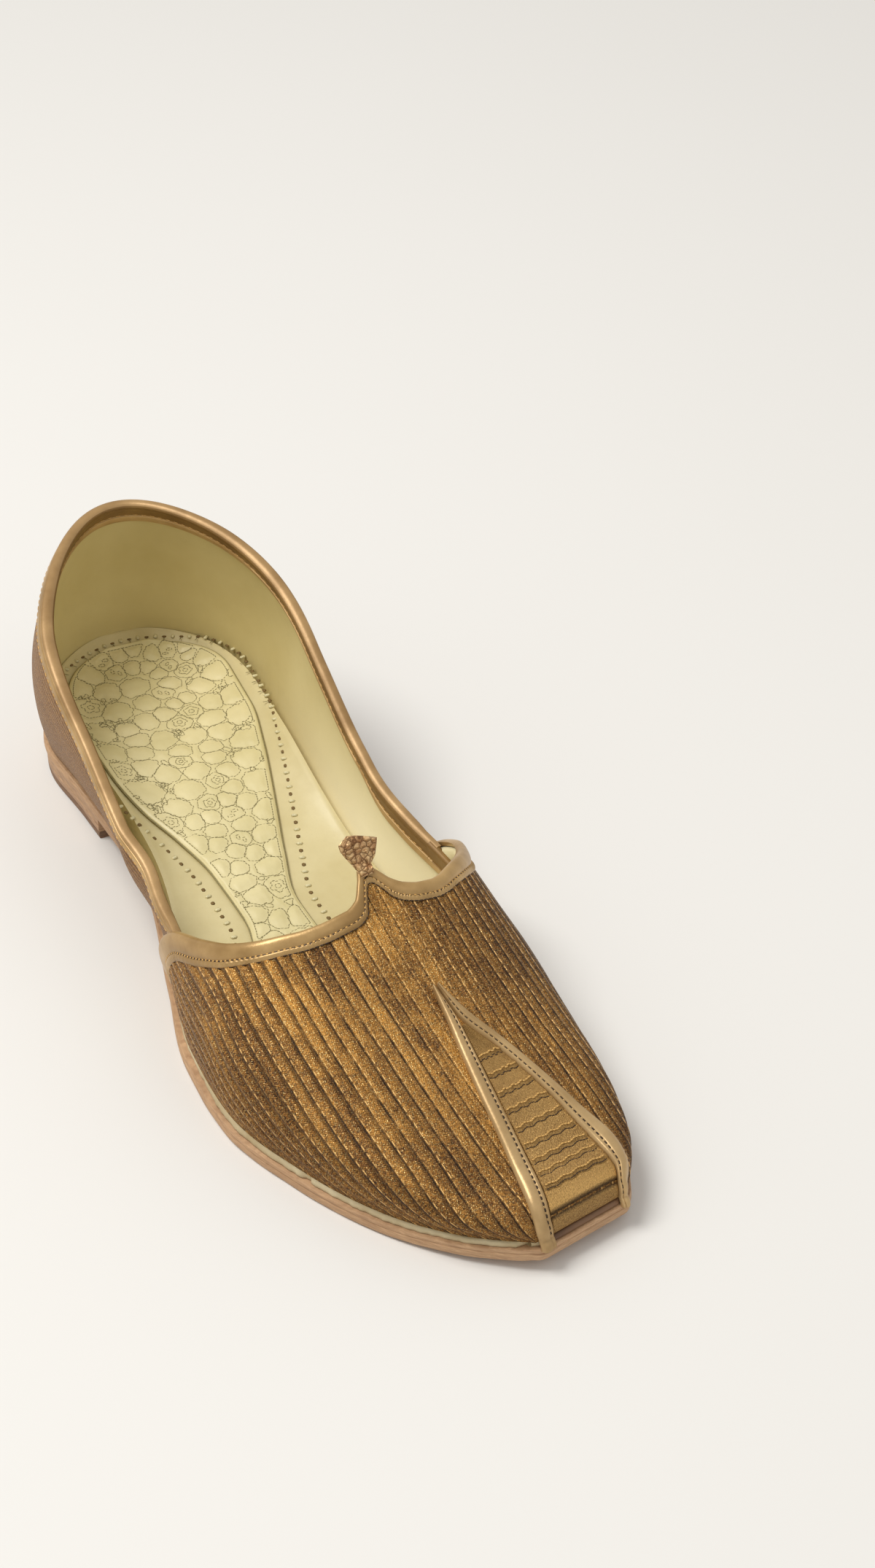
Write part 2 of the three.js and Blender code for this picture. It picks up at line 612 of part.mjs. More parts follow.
// Frame on the rear edge of the vamp: steps along s and turn for one millimetre into the vamp.
function throatFrame(turn) {
  const s = throatAt(turn);
  const d = 1e-4;
  const spot = (v) => ({ s: v, keep: 1 });
  const p = vampByTurn(spot(s), turn, 0);
  const vec = (a, b, k) => new THREE.Vector3((a[0] - b[0]) / k, (a[1] - b[1]) / k, (a[2] - b[2]) / k);
  const alongS = vec(vampByTurn(spot(s + d), turn, 0), p, d);
  const t0 = clamp(turn - d, 0, 1);
  const t1 = clamp(turn + d, 0, 1);
  const alongTurn = vec(vampByTurn(spot(s), t1, 0), vampByTurn(spot(s), t0, 0), t1 - t0);
  const edge = vec(vampByTurn(spot(throatAt(t1)), t1, 0), vampByTurn(spot(throatAt(t0)), t0, 0), t1 - t0);
  const normal = new THREE.Vector3().crossVectors(alongTurn, alongS).normalize();
  const into = new THREE.Vector3().crossVectors(normal, edge).normalize();
  if (into.dot(alongS) < 0) into.negate();
  const straight = alongS.clone().normalize();
  into.lerp(straight, 1 - smooth(0.005, 0.075, Math.abs(turn - 0.5))).normalize();
  const ss = alongS.dot(alongS);
  const st = alongS.dot(alongTurn);
  const tt = alongTurn.dot(alongTurn);
  const bs = into.dot(alongS);
  const bt = into.dot(alongTurn);
  const det = ss * tt - st * st;
  return { s, perS: (bs * tt - bt * st) / det, perTurn: (bt * ss - bs * st) / det };
}

function makeThroatBinding() {
  const seat = LAP - CURVE_GAP;
  const out = -BIND_GAP;
  const deep = WALL + CURVE_GAP;
  const outer = (turn) => {
    const leg = THROAT_BIND_OUT * throatLeg(turn);
    return [
      [leg, out - BIND_T * 0.5], [leg - BIND_T, out - BIND_T], [leg / 2, out - BIND_T],
      [0, out - BIND_T * 1.2], [-THROAT_ROLL, -BIND_T * 0.6], [-THROAT_ROLL, seat], [-GAP, seat], [-GAP, out],
      [leg / 2, out], [leg, out],
    ];
  };
  const inner = () => [
    [-GAP * 1.8, BIND_T * 0.11], [-THROAT_ROLL * 0.8, BIND_T * 0.11],
    [-THROAT_ROLL * 0.7, deep + BIND_T * 0.8], [THROAT_BIND_IN, deep + BIND_T * 0.8],
    [THROAT_BIND_IN, deep], [-GAP, deep],
  ];
  const ring = (turn, profile) => {
    const f = throatFrame(turn);
    return profile.map(([ahead, inset]) => {
      const t = clamp(turn + f.perTurn * ahead, 0.002, 0.998);
      return vampByTurn({ s: f.s + f.perS * ahead, keep: 1 }, t, inset);
    });
  };
  const span = (from, to, profileAt) => {
    const stops = [from, ...TURNS.filter((v) => v > from + 0.004 && v < to - 0.004), to];
    return sweep(stops.map((v) => ring(v, profileAt(v))), profileAt(0.5));
  };
  return span(0.03, 0.97, outer).add(span(0.245, 0.765, inner));
}

// Creased leather tab: its foot lies on the throat peak, and it stands up and widens to a slanting top.
function makeFinial() {
  const s0 = throatAt(0.5) + FINIAL_SEAT / SHOE_LEN;
  const start = THROAT_H * ridgeHigh(s0) + BIND_GAP + GAP + BIND_T;
  const spread = FINIAL_DROP * FINIAL.outer[0] * FINIAL_HALF;
  const columns = FINIAL_END.length;
  const last = FINIAL.back.length - 1;
  const grid = (lift) => FINIAL.back.map((unused, i) => FINIAL_END.map((end, j) => {
    const reach = i * mix(1, end, i / last);
    const low = Math.floor(reach);
    const part = reach - low;
    const along = (list) => mix(list[low], list[Math.min(low + 1, last)], part) * FINIAL_LEN;
    const across = 2 * j / (columns - 1) - 1;
    const x = across * (across > 0 ? FINIAL.outer : FINIAL.inner)[i] * FINIAL_HALF;
    const lean = along(FINIAL.rise) / FINIAL_LEN;
    const z = start + spread + along(FINIAL.rise) - FINIAL_DROP * Math.abs(x) + lift * (1 - lean * 0.6);
    return place(s0 - (along(FINIAL.back) - lift * lean) / SHOE_LEN, x, z);
  }));
  return shell(grid(FINIAL_T), grid(0));
}

// Stations of straps and panel: shares of the length, then steps down the toe face.
const TOE_STATIONS = [0.77, 0.79, 0.814, 0.84, 0.87, 0.9, 0.93, 0.95];
const TOE_ROLL_STEPS = [1, 7 / 6, 8 / 6, 9 / 6, 10 / 6, 11 / 6, 1.96];

// Thin overlay on the vamp between two edges, from one station to the foot of the toe face.
function trim(from, edgeA, edgeB, thick, columns, crown) {
  const marks = [
    ...TOE_STATIONS.filter((s) => s >= from - 1e-6).map((s) => () => ({ s, keep: 1 })),
    ...TOE_ROLL_STEPS.map((run) => (inset) => alongToe(TOE_FACE, run, inset)),
  ];
  const sheet = (raise) => marks.map((spotOf) => {
    const row = [];
    for (let j = 0; j <= columns; j += 1) {
      const k = j / columns;
      const inset = -CURVE_GAP - raise * (j === 0 || j === columns ? 1 - crown : 1);
      const spot = spotOf(inset);
      row.push(vampByWidth(spot, BALL_HALF * mix(edgeA(spot.s), edgeB(spot.s), k), inset));
    }
    return row;
  });
  return shell(sheet(thick), sheet(0));
}

function makeStraps() {
  const outer = trim(STRAP_FROM, strapEdge.outerIn, strapEdge.outerOut, STRAP_T, 3, 0.35);
  const inner = trim(STRAP_FROM, strapEdge.innerOut, strapEdge.innerIn, STRAP_T, 3, 0.35);
  return [outer, inner];
}

function makePanel() {
  const room = 1.2 * GAP / BALL_HALF;
  const left = (s) => strapEdge.innerIn(s) + room;
  const right = (s) => strapEdge.outerIn(s) - room;
  return trim(PANEL_FROM, left, right, PANEL_T, 5, 0);
}

// Assembly.
const [strapOuter, strapInner] = makeStraps();
const parts = [
  ['upper', makeUpper(), 0x8a6236, 0.45],
  ['outsole', makeOutsole(), 0xb08a5e, 0.6],
  ['heel_lift', makeHeelLayer(TOP_PIECE_T + GAP, HEEL_LIFT - GAP), 0xa67f55, 0.6],
  ['heel_top_piece', makeHeelLayer(0, TOP_PIECE_T), 0x7d5b3a, 0.7],
  ['rand', makeRand(), 0xe6dcc0, 0.6],
  ['insole', makeInsole(), 0xe3d7a6, 0.55],
  ['insole_pad', makePad(), 0xd9cf9f, 0.5],
  ['collar_binding', makeCollarBinding(), 0xa9825a, 0.4],
  ['throat_binding', makeThroatBinding(), 0xa9825a, 0.4],
  ['throat_finial', makeFinial(), 0xa07848, 0.4],
  ['toe_panel', makePanel(), 0xa98a52, 0.5],
  ['toe_strap_lateral', strapOuter, 0xb39a68, 0.4],
  ['toe_strap_medial', strapInner, 0xb39a68, 0.4],
];

const whole = new THREE.Box3();
const built = parts.map(([name, body, color, roughness]) => {
  const mesh = body.getMesh();
  const step = mesh.numProp;
  const count = mesh.vertProperties.length / step;
  const position = new Float32Array(count * 3);
  for (let i = 0; i < count; i += 1) {
    for (let k = 0; k < 3; k += 1) position[3 * i + k] = mesh.vertProperties[step * i + k];
  }
  const geometry = new THREE.BufferGeometry();
  geometry.setAttribute('position', new THREE.BufferAttribute(position, 3));
  geometry.setIndex(new THREE.BufferAttribute(new Uint32Array(mesh.triVerts), 1));
  geometry.computeBoundingBox();
  whole.union(geometry.boundingBox);
  return { name, geometry, color, roughness };
});

const shoe = new THREE.Group();
shoe.name = 'mojari_shoe';
const middle = whole.getCenter(new THREE.Vector3());
for (const { name, geometry, color, roughness } of built) {
  geometry.translate(-middle.x, -middle.y, -whole.min.z);
  const mesh = new THREE.Mesh(geometry, new THREE.MeshStandardMaterial({ color, roughness }));
  mesh.name = name;
  shoe.add(mesh);
}

export default shoe;
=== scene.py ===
# Mojari shoe, right foot, dressed for the studio picture. Shapes are in millimetres here and
# become metres when a mesh is made. The surfaces repeat the solids' own formulas and sizes.
import math

import bmesh
import bpy
import numpy as np
from mathutils import Matrix, Vector
from mathutils.kdtree import KDTree


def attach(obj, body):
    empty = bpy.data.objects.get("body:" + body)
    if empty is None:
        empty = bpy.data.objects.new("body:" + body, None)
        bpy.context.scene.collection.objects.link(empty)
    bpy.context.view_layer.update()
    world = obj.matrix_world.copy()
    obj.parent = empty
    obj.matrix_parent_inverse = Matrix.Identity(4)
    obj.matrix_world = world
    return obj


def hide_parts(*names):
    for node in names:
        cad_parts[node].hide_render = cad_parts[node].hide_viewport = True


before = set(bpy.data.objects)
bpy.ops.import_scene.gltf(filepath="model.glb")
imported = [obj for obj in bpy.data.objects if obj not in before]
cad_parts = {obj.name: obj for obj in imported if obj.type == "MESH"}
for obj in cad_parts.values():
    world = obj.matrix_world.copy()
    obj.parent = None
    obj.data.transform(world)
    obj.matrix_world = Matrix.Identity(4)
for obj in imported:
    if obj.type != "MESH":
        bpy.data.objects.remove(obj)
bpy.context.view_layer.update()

MM = 0.001
UP = np.array([0.0, 0.0, 1.0])

# Sizes, the same as the solids'
SHOE_LEN = 256.0
BALL_HALF = 46.8
FOOT_BEND = 9.0
COLLAR_BACK_H = 69.0
THROAT_H = 54.3
GAP = 0.3
HEEL_LIFT = 7.0
TOP_PIECE_T = 2.2
HEEL_END = 0.24
SHANK_END = 0.6
SPRING_FROM = 0.84
TOE_SPRING = 3.0
SOLE_T = 3.6
SOLE_EDGE_FORE = 1.9
SOLE_EDGE_HEEL = 0.8
HEEL_EDGE = SOLE_EDGE_HEEL - 0.5
TOE_CORNER_R = 4.0
HEEL_ROUND = 0.15
HEEL_POWER = 2.2
COLLAR_ROUND = 0.25
COLLAR_POWER = 2.0
RAND_T = 1.2
RAND_OUT = 1.1
RAND_IN = 1.5
RAND_FROM = 0.34
RAND_RAMP = 0.1
INSOLE_T_HEEL = 6.5
INSOLE_T_TOE = 2.0
INSOLE_CUP = 5.5
INSOLE_CUP_END = 0.55
INSOLE_CUP_RUN = 34.0
SIDE_CLEAR = 0.7
PAD_T = 2.0
PAD_FROM = 0.028
PAD_TO = 0.72
PAD_ROUND = 0.09
PAD_Y0 = PAD_FROM * SHOE_LEN
PAD_Y1 = PAD_TO * SHOE_LEN
STITCH_TO = 0.66  # end of the holes round the pad
WALL = 2.0
HEEL_LEAN = 6.0
LEAN_FROM = 0.35
QUARTER_BULGE = 4.0
QUARTER_END = 0.6
LAP = 1.0
LAP_FROM = 0.4
LAP_TO = 0.475
VAMP_BULGE = 2.4
BULGE_ALL = 12.0  # height of the vamp from which it bulges fully
SWELL_OUTER = 5.2
SWELL_INNER = 4.5
TOE_FACE = 0.965
TOE_ROLL = 2.6
TOE_FACE_LEN = 9.0  # cloth down the toe's face
COLLAR_BIND_TO = 0.547
FACING_TO = 0.592
FINIAL_LEN = 9.6
FINIAL_HALF = 5.1
FINIAL_DROP = 0.05
FINIAL_SEAT = 3.0
SHIFT = np.array([11.7132, 129.0846, 0.0])

FINIAL = dict(
    back=[0, 0.23, 0.345, 0.45, 0.53, 0.585], rise=[0, 0.11, 0.3, 0.54, 0.78, 1],
    outer=[0.34, 0.4, 0.575, 0.79, 0.97, 1], inner=[0.34, 0.4, 0.76, 0.87, 0.96, 1])
FINIAL_END = [0.72, 0.83, 0.925, 1, 0.85]


# Small maths
def mix(a, b, k):
    return a + (b - a) * k


def smooth(lo, hi, v):
    k = np.clip((np.asarray(v, float) - lo) / (hi - lo), 0, 1)
    return k * k * (3 - 2 * k)


def curve(xs, ys):
    xs = np.array(xs, float)
    ys = np.array(ys, float)
    h = np.diff(xs)
    d = np.diff(ys) / h
    m = np.empty(len(xs))
    m[0], m[-1] = d[0], d[-1]
    for i in range(1, len(xs) - 1):
        w1, w2 = 2 * h[i] + h[i - 1], h[i] + 2 * h[i - 1]
        m[i] = 0 if d[i - 1] * d[i] <= 0 else (w1 + w2) / (w1 / d[i - 1] + w2 / d[i])

    def value(x):
        x = np.clip(np.asarray(x, float), xs[0], xs[-1])
        i = np.clip(np.searchsorted(xs, x, side="right") - 1, 0, len(xs) - 2)
        t = (x - xs[i]) / h[i]
        return ((2 * t**3 - 3 * t**2 + 1) * ys[i] + (t**3 - 2 * t**2 + t) * h[i] * m[i]
                + (3 * t**2 - 2 * t**3) * ys[i + 1] + (t**3 - t**2) * h[i] * m[i + 1])
    return value


def curves(at, *rows):
    return [curve(at, row) for row in rows]


outline_outer, outline_inner = curves(
    [0, 0.1, 0.2, 0.35, 0.5, 0.6, 0.7, 0.8, 0.88, 0.95, 1],
    [0.662, 0.669, 0.609, 0.566, 0.763, 0.936, 1, 0.889, 0.729, 0.504, 0.267],
    [0.641, 0.645, 0.643, 0.62, 0.709, 0.799, 0.825, 0.75, 0.656, 0.509, 0.323])
collar_outer, collar_inner, collar_high = curves(
    [0, 0.05, 0.11, 0.2, 0.3, 0.4, 0.48, 0.56, 0.62],
    [0.609, 0.645, 0.709, 0.778, 0.768, 0.785, 0.82, 0.85, 0.88],
    [0.618, 0.66, 0.712, 0.746, 0.733, 0.724, 0.752, 0.812, 0.85],
    [1, 0.988, 0.961, 0.87, 0.71, 0.539, 0.449, 0.403, 0.39])
ridge_high, ridge_square = curves(
    [0.45, 0.56, 0.644, 0.7, 0.8, 0.9, 0.96, 1],
    [1.15, 1.087, 1, 0.858, 0.637, 0.446, 0.328, 0.287],
    [2.15, 2.15, 2.2, 2.25, 2.45, 3.05, 3.7, 4.5])
throat_at = curve(
    [0, 0.07, 0.145, 0.2, 0.245, 0.295, 0.335, 0.38, 0.42, 0.45, 0.47, 0.484, 0.5,
     0.516, 0.53, 0.55, 0.58, 0.61, 0.635, 0.67, 0.71, 0.77, 0.83, 0.92, 1],
    [0.492, 0.514, 0.548, 0.597, 0.631, 0.655, 0.667, 0.677, 0.681, 0.6815, 0.677, 0.664, 0.647,
     0.658, 0.669, 0.676, 0.679, 0.678, 0.674, 0.664, 0.65, 0.622, 0.579, 0.518, 0.492])
throat_leg = curve(
    [0.1, 0.17, 0.23, 0.28, 0.34, 0.46, 0.5, 0.54, 0.64, 0.71, 0.77, 0.83, 0.9],
    [1, 0.92, 0.8, 0.66, 0.58, 0.56, 0.68, 0.52, 0.56, 0.68, 0.82, 0.92, 1])
strap_outer_out, strap_outer_in, strap_inner_in, strap_inner_out = curves(
    [0.77, 0.8, 0.84, 0.88, 0.92, 0.96, 0.985, 1],
    [-0.008, 0.019, 0.066, 0.111, 0.152, 0.202, 0.236, 0.25],
    [-0.026, -0.037, -0.013, 0.021, 0.058, 0.098, 0.136, 0.165],
    [-0.034, -0.044, -0.13, -0.2, -0.25, -0.283, -0.29, -0.262],
    [-0.052, -0.105, -0.197, -0.271, -0.335, -0.391, -0.366, -0.312])
pad_outer, pad_inner = curves(
    [0.028, 0.113, 0.183, 0.252, 0.301, 0.349, 0.407, 0.474, 0.543, 0.62, 0.72],
    [0.46, 0.49, 0.514, 0.506, 0.451, 0.342, 0.259, 0.241, 0.353, 0.513, 0.534],
    [0.469, 0.51, 0.503, 0.435, 0.365, 0.287, 0.187, 0.092, 0.103, 0.278, 0.363])


def spread(*values):
    """The values as float arrays of one shape."""
    return np.broadcast_arrays(*[np.asarray(v, float) for v in values])


def place(s, x, z):
    """A point of the shoe from its share of the length, sideways distance and height."""
    s, x, z = spread(s, x, z)
    slope = 4 * FOOT_BEND * (1 - 2 * s) / SHOE_LEN
    k = np.hypot(1, slope)
    return np.stack([4 * FOOT_BEND * s * (1 - s) + x / k, s * SHOE_LEN - x * slope / k, z], -1)


def side_of(x):
    return np.where(x >= 0, 1.0, -1.0)


def unit(v):
    return v / np.linalg.norm(v, axis=-1, keepdims=True)


def base_half(s, side):
    return BALL_HALF * np.where(side > 0, outline_outer(s), outline_inner(s))


def round_end(u, power):
    return (1 - (1 - np.clip(u, 0, 1)) ** power) ** (1 / power)


def sole_bottom(s):
    spring = np.clip((s - SPRING_FROM) / (1 - SPRING_FROM), 0, 1.02) ** 2
    return HEEL_LIFT * (1 - smooth(HEEL_END, SHANK_END, s)) + TOE_SPRING * spring


def sole_top(s):
    return sole_bottom(s) + SOLE_T


def foot_line(s):
    return sole_top(s) + GAP + (RAND_T + GAP) * smooth(RAND_FROM - RAND_RAMP, RAND_FROM + RAND_RAMP * 0.4, s)


# Surfaces of the upper
def vamp_bulge(s, share, side):
    extra = np.where(side > 0, SWELL_OUTER * (1 - smooth(0.46, 0.6, s)),
                     SWELL_INNER * (1 - smooth(0.52, 0.68, s)))
    return (VAMP_BULGE + extra) * np.sin(np.pi * np.clip(share, 0, 1) ** 1.3)


def vamp_half(s, share, side):
    n = ridge_square(s)
    arch = (1 - np.clip(share, 0, 1) ** n) ** (1 / n)
    return base_half(s, side) * arch + vamp_bulge(s, share, side)


def along_toe(start, run, inset):
    a = np.clip(run - 1, 0, 1) * np.pi / 2
    reach = 1 - TOE_FACE - inset / SHOE_LEN
    s = np.where(run <= 1, mix(start, TOE_FACE, np.minimum(run, 1)),
                 TOE_FACE + reach * np.sin(a) ** (2 / TOE_ROLL))
    return s, np.maximum(np.cos(a), 0) ** (2 / TOE_ROLL)


def vamp_rise(s, keep, inset):
    return (THROAT_H * ridge_high(s) - inset - foot_line(s)) * keep


def vamp(s, keep, turn, inset):
    s, keep, turn, inset = spread(s, keep, turn, inset)
    a = np.pi * turn
    n = ridge_square(s)
    share = np.abs(np.sin(a)) ** (2 / n)
    side = np.where(turn <= 0.5, 1.0, -1.0)
    rise = vamp_rise(s, keep, inset)
    arch = np.abs(np.cos(a)) ** (2 / n)
    bulge = vamp_bulge(s, share, side) * np.clip(rise / BULGE_ALL, 0, 1)
    mid = np.abs(turn - 0.5) < 1e-9
    x = side * np.where(mid, 0, (base_half(s, side) - inset) * arch + bulge)
    return place(s, x, foot_line(s) + rise * share)


def vamp_wide(s, keep, x, inset):
    s, keep, x, inset = spread(s, keep, x, inset)
    side = side_of(x)
    half = base_half(s, side) - inset
    n = ridge_square(s)
    e = np.clip(np.abs(x) / half, 0, 0.99)
    share = (1 - e ** n) ** (1 / n)
    rise = vamp_rise(s, keep, inset)
    bulge = vamp_bulge(s, share, side) * np.clip(rise / BULGE_ALL, 0, 1)
    return place(s, side * (e * half + bulge), foot_line(s) + rise * share)


def quarter(q, up, side, inset):
    q, up, side, inset = spread(q, up, side, inset)
    lean = HEEL_LEAN * np.clip((up - LEAN_FROM) / (1 - LEAN_FROM), 0, 1.1) ** 2
    start = (lean + inset) / SHOE_LEN
    s = mix(start, QUARTER_END, q)
    low = foot_line(s)
    z = mix(low, COLLAR_BACK_H * collar_high(s), up)
    k = np.clip(up, 0, 1)
    top = BALL_HALF * np.where(side > 0, collar_outer(s), collar_inner(s))
    fade = np.clip(1.2 - 1.2 * s, 0, 1)
    free = mix(base_half(s, side), top, k) + QUARTER_BULGE * 4 * k * (1 - k) * fade - inset
    rounding = mix(HEEL_ROUND, COLLAR_ROUND, k)
    own = free * round_end((s - start) / rounding, mix(HEEL_POWER, COLLAR_POWER, k))
    share = (z - low) / (THROAT_H * ridge_high(s) - low)
    under = vamp_half(s, share, side) - LAP - inset
    return place(s, side * mix(own, under, smooth(LAP_FROM, LAP_TO, s)), z)


# Mesh makers
def add_object(name, data):
    obj = bpy.data.objects.new(name, data)
    bpy.context.scene.collection.objects.link(obj)
    return obj


def finish_mesh(name, verts, faces, mats, face_mat=None, uv=None, sharp=50):
    mesh = bpy.data.meshes.new(name)
    mesh.from_pydata(((np.asarray(verts) - SHIFT) * MM).tolist(), [], faces)
    for m in mats:
        mesh.materials.append(m)
    if face_mat is not None:
        split_materials(mesh, face_mat)
    if uv is not None:
        layer = mesh.uv_layers.new(name="cloth")
        loops = np.empty(len(mesh.loops), dtype=np.int32)
        mesh.loops.foreach_get("vertex_index", loops)
        layer.data.foreach_set("uv", np.asarray(uv)[loops].astype(np.float32).ravel())
    mesh.polygons.foreach_set("use_smooth", np.ones(len(mesh.polygons), dtype=bool))
    if sharp:
        mesh.set_sharp_from_angle(angle=math.radians(sharp))
    mesh.validate()
    mesh.update()
    return add_object(name, mesh)


def split_materials(mesh, index):
    mesh.polygons.foreach_set("material_index", np.asarray(index).astype(np.int32))


def piece(obj, slot, *nodes):
    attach(obj, "root")
    if nodes:
        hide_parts(*nodes)


def grid_faces(ni, nj, offset=0, flip=False):
    i, j = np.meshgrid(np.arange(ni - 1), np.arange(nj - 1), indexing="ij")
    a = offset + i * nj + j
    quads = np.stack([a, a + nj, a + nj + 1, a + 1], -1).reshape(-1, 4)
    return (quads[:, ::-1] if flip else quads).tolist()


def rim_faces(outer_ids, inner_ids, step):
    """N-gons between a fine border and a coarser one that takes every step-th point."""
    out = []
    for k in range(len(inner_ids) - 1):
        fine = outer_ids[k * step:(k + 1) * step + 1]
        out.append([int(v) for v in fine] + [int(inner_ids[k + 1]), int(inner_ids[k])])
    return out


def double_sheet(name, outer, inner, step_i, step_j, mats, uv=None, sharp=50):
    """A closed wall: a fine outer sheet, a coarser inner sheet and the rims between them."""
    ni, nj = outer.shape[:2]
    mi, mj = inner.shape[:2]
    base = ni * nj
    faces = grid_faces(ni, nj)
    count = len(faces)
    faces += grid_faces(mi, mj, base, flip=True)
    o = np.arange(base).reshape(ni, nj)
    n = base + np.arange(mi * mj).reshape(mi, mj)
    rims = rim_faces(o[::-1, 0], n[::-1, 0], step_i) + rim_faces(o[:, -1], n[:, -1], step_i)
    rims += rim_faces(o[0, :], n[0, :], step_j) + rim_faces(o[-1, ::-1], n[-1, ::-1], step_j)
    faces += [f[::-1] for f in rims]
    face_mat = [0] * count + [len(mats) - 1] * (len(faces) - count)
    verts = np.concatenate([outer.reshape(-1, 3), inner.reshape(-1, 3)])
    if uv is not None:
        uv = np.concatenate([uv.reshape(-1, 2), np.zeros((mi * mj, 2))])
    return finish_mesh(name, verts, faces, mats, face_mat, uv, sharp)


def ring_faces(n, m, closed=False):
    """Quads between n rings of m points each."""
    faces = []
    for i in range(n if closed else n - 1):
        a, b = i * m, ((i + 1) % n) * m
        for j in range(m):
            k = (j + 1) % m
            faces.append([a + j, b + j, b + k, a + k])
    return faces


def tube(name, rings, mats, closed=False, sharp=45):
    """Rings of points joined lengthwise; each ring is a closed loop."""
    n, m = rings.shape[:2]
    faces = ring_faces(n, m, closed)
    if not closed:
        faces += [list(range(m)), list(range(n * m - 1, (n - 1) * m - 1, -1))]
    return finish_mesh(name, rings.reshape(-1, 3), faces, mats, sharp=sharp)


def merge_coincident(obj):
    bm = bmesh.new()
    bm.from_mesh(obj.data)
    bmesh.ops.remove_doubles(bm, verts=bm.verts, dist=1e-6)
    bmesh.ops.recalc_face_normals(bm, faces=bm.faces)
    bm.to_mesh(obj.data)
    bm.free()
    return obj


def resample(points, pitch, closed=False):
    pts = np.asarray(points, float)
    if closed:
        pts = np.vstack([pts, pts[:1]])
    seg = np.linalg.norm(np.diff(pts, axis=0), axis=1)
    total = seg.sum()
    cum = np.concatenate([[0], np.cumsum(seg)])
    n = max(int(round(total / pitch)), 2)
    at = np.linspace(0, total, n + 1)
    if closed:
        at = at[:-1]
    return np.stack([np.interp(at, cum, pts[:, k]) for k in range(pts.shape[1])], -1)


BEAD_SIDES = 5
BEAD_RING = [(math.cos(a), math.sin(a)) for a in np.linspace(0, 2 * math.pi, BEAD_SIDES, endpoint=False)]
BEAD_WAIST = 0.55  # share of a bead's half length where it is thickest


def beads(name, slot, centres, ways, ups, half_len, half_wide, half_high, mat):
    """Many small grains in one mesh, stitches and also dark marks of painted shade: each is a rounded grain
    along its way.
    """
    ways = unit(ways)
    sides = unit(np.cross(ways, ups))
    ups = np.cross(sides, ways)
    rows = [centres - ways * half_len, centres + ways * half_len]
    for f in (-BEAD_WAIST, BEAD_WAIST):
        for c, s in BEAD_RING:
            rows.append(centres + ways * half_len * f + sides * half_wide * c + ups * half_high * s)
    n = BEAD_SIDES
    faces = []
    for o in range(0, len(centres) * len(rows), len(rows)):
        for j in range(n):
            k = (j + 1) % n
            faces += [[o, o + 2 + k, o + 2 + j], [o + 2 + j, o + 2 + k, o + 2 + n + k, o + 2 + n + j],
                      [o + 1, o + 2 + n + j, o + 2 + n + k]]
    piece(finish_mesh(name, np.stack(rows, 1).reshape(-1, 3), faces, [mat], sharp=0), slot)


def sew(name, slot, line, above, half_len, half_wide, half_high, mat):
    """Grains along a line, stitches and also dark marks of painted shade, each turned with its top towards
    the line above.
    """
    beads(name, slot, line, np.gradient(line, axis=0), above - line, half_len, half_wide, half_high, mat)


def resample_both(line, above, pitch):
    both = resample(np.concatenate([line, above], 1), pitch)
    return both[:, :3], both[:, 3:]


def halfway(line):
    return (line[1:] + line[:-1]) / 2


# Materials
class Paint:
    """A short way to build one material's node tree."""

    def __init__(self, name):
        self.mat = bpy.data.materials.new(name)
        self.mat.use_nodes = True
        self.tree = self.mat.node_tree
        self.bsdf = self.tree.nodes["Principled BSDF"]

    def node(self, kind, **props):
        n = self.tree.nodes.new(kind)
        for k, v in props.items():
            if k == "inputs":
                for key, val in v.items():
                    self.put(n.inputs[key], val)
            else:
                setattr(n, k, v)
        return n

    def put(self, socket, value):
        if isinstance(value, bpy.types.NodeSocket):
            self.tree.links.new(value, socket)
        else:
            socket.default_value = value

    def set(self, **values):
        for k, v in values.items():
            self.put(self.bsdf.inputs[k.replace("_", " ")], v)

    def math(self, op, a, *others):
        """One Math node, or a chain of them where there are more than two values."""
        for b in others or (0.0,):
            n = self.node("ShaderNodeMath", operation=op, inputs={0: a, 1: b})
            a = n.outputs[0]
        return a

    def mul(self, *values):
        return self.math("MULTIPLY", *values)

    def add(self, *values):
        return self.math("ADD", *values)

    def sub(self, a, b):
        return self.math("SUBTRACT", a, b)

    def parts(self, vector):
        return self.node("ShaderNodeSeparateXYZ", inputs={0: vector}).outputs

    def coords(self, source, scale):
        return self.node("ShaderNodeMapping", inputs={"Vector": source, "Scale": scale}).outputs[0]

    def object_coords(self, scale=(1, 1, 1)):
        return self.coords(self.node("ShaderNodeTexCoord").outputs["Object"], scale)

    def uv_coords(self, along=1, across=1):
        return self.coords(self.node("ShaderNodeUVMap", uv_map="cloth").outputs[0], (along, across, 1))

    def noise(self, vector, scale, detail=3.0, rough=0.55, distortion=0.0):
        n = self.node("ShaderNodeTexNoise", inputs={
            "Vector": vector, "Scale": scale, "Detail": detail, "Roughness": rough, "Distortion": distortion})
        return n.outputs["Fac"]

    def cells(self, vector, scale, feature="F1"):
        n = self.node("ShaderNodeTexVoronoi", feature=feature, inputs={"Vector": vector, "Scale": scale})
        return n.outputs["Distance"]

    def span(self, value, lo, hi, to_lo=0.0, to_hi=1.0):
        n = self.node("ShaderNodeMapRange", clamp=True, inputs={
            "Value": value, "From Min": lo, "From Max": hi, "To Min": to_lo, "To Max": to_hi})
        return n.outputs[0]

    def blend(self, fac, a, b):
        return self.node("ShaderNodeMix", data_type="RGBA", inputs={0: fac, 6: a, 7: b}).outputs[2]

    def bump(self, height, strength, distance, **more):
        n = self.node("ShaderNodeBump", inputs={
            "Height": height, "Strength": strength, "Distance": distance, **more})
        return n.outputs[0]


def rgb(r, g, b):
    """sRGB bytes as a linear colour."""
    def lin(v):
        v /= 255
        return v / 12.92 if v <= 0.04045 else ((v + 0.055) / 1.055) ** 2.4
    return (lin(r), lin(g), lin(b), 1.0)


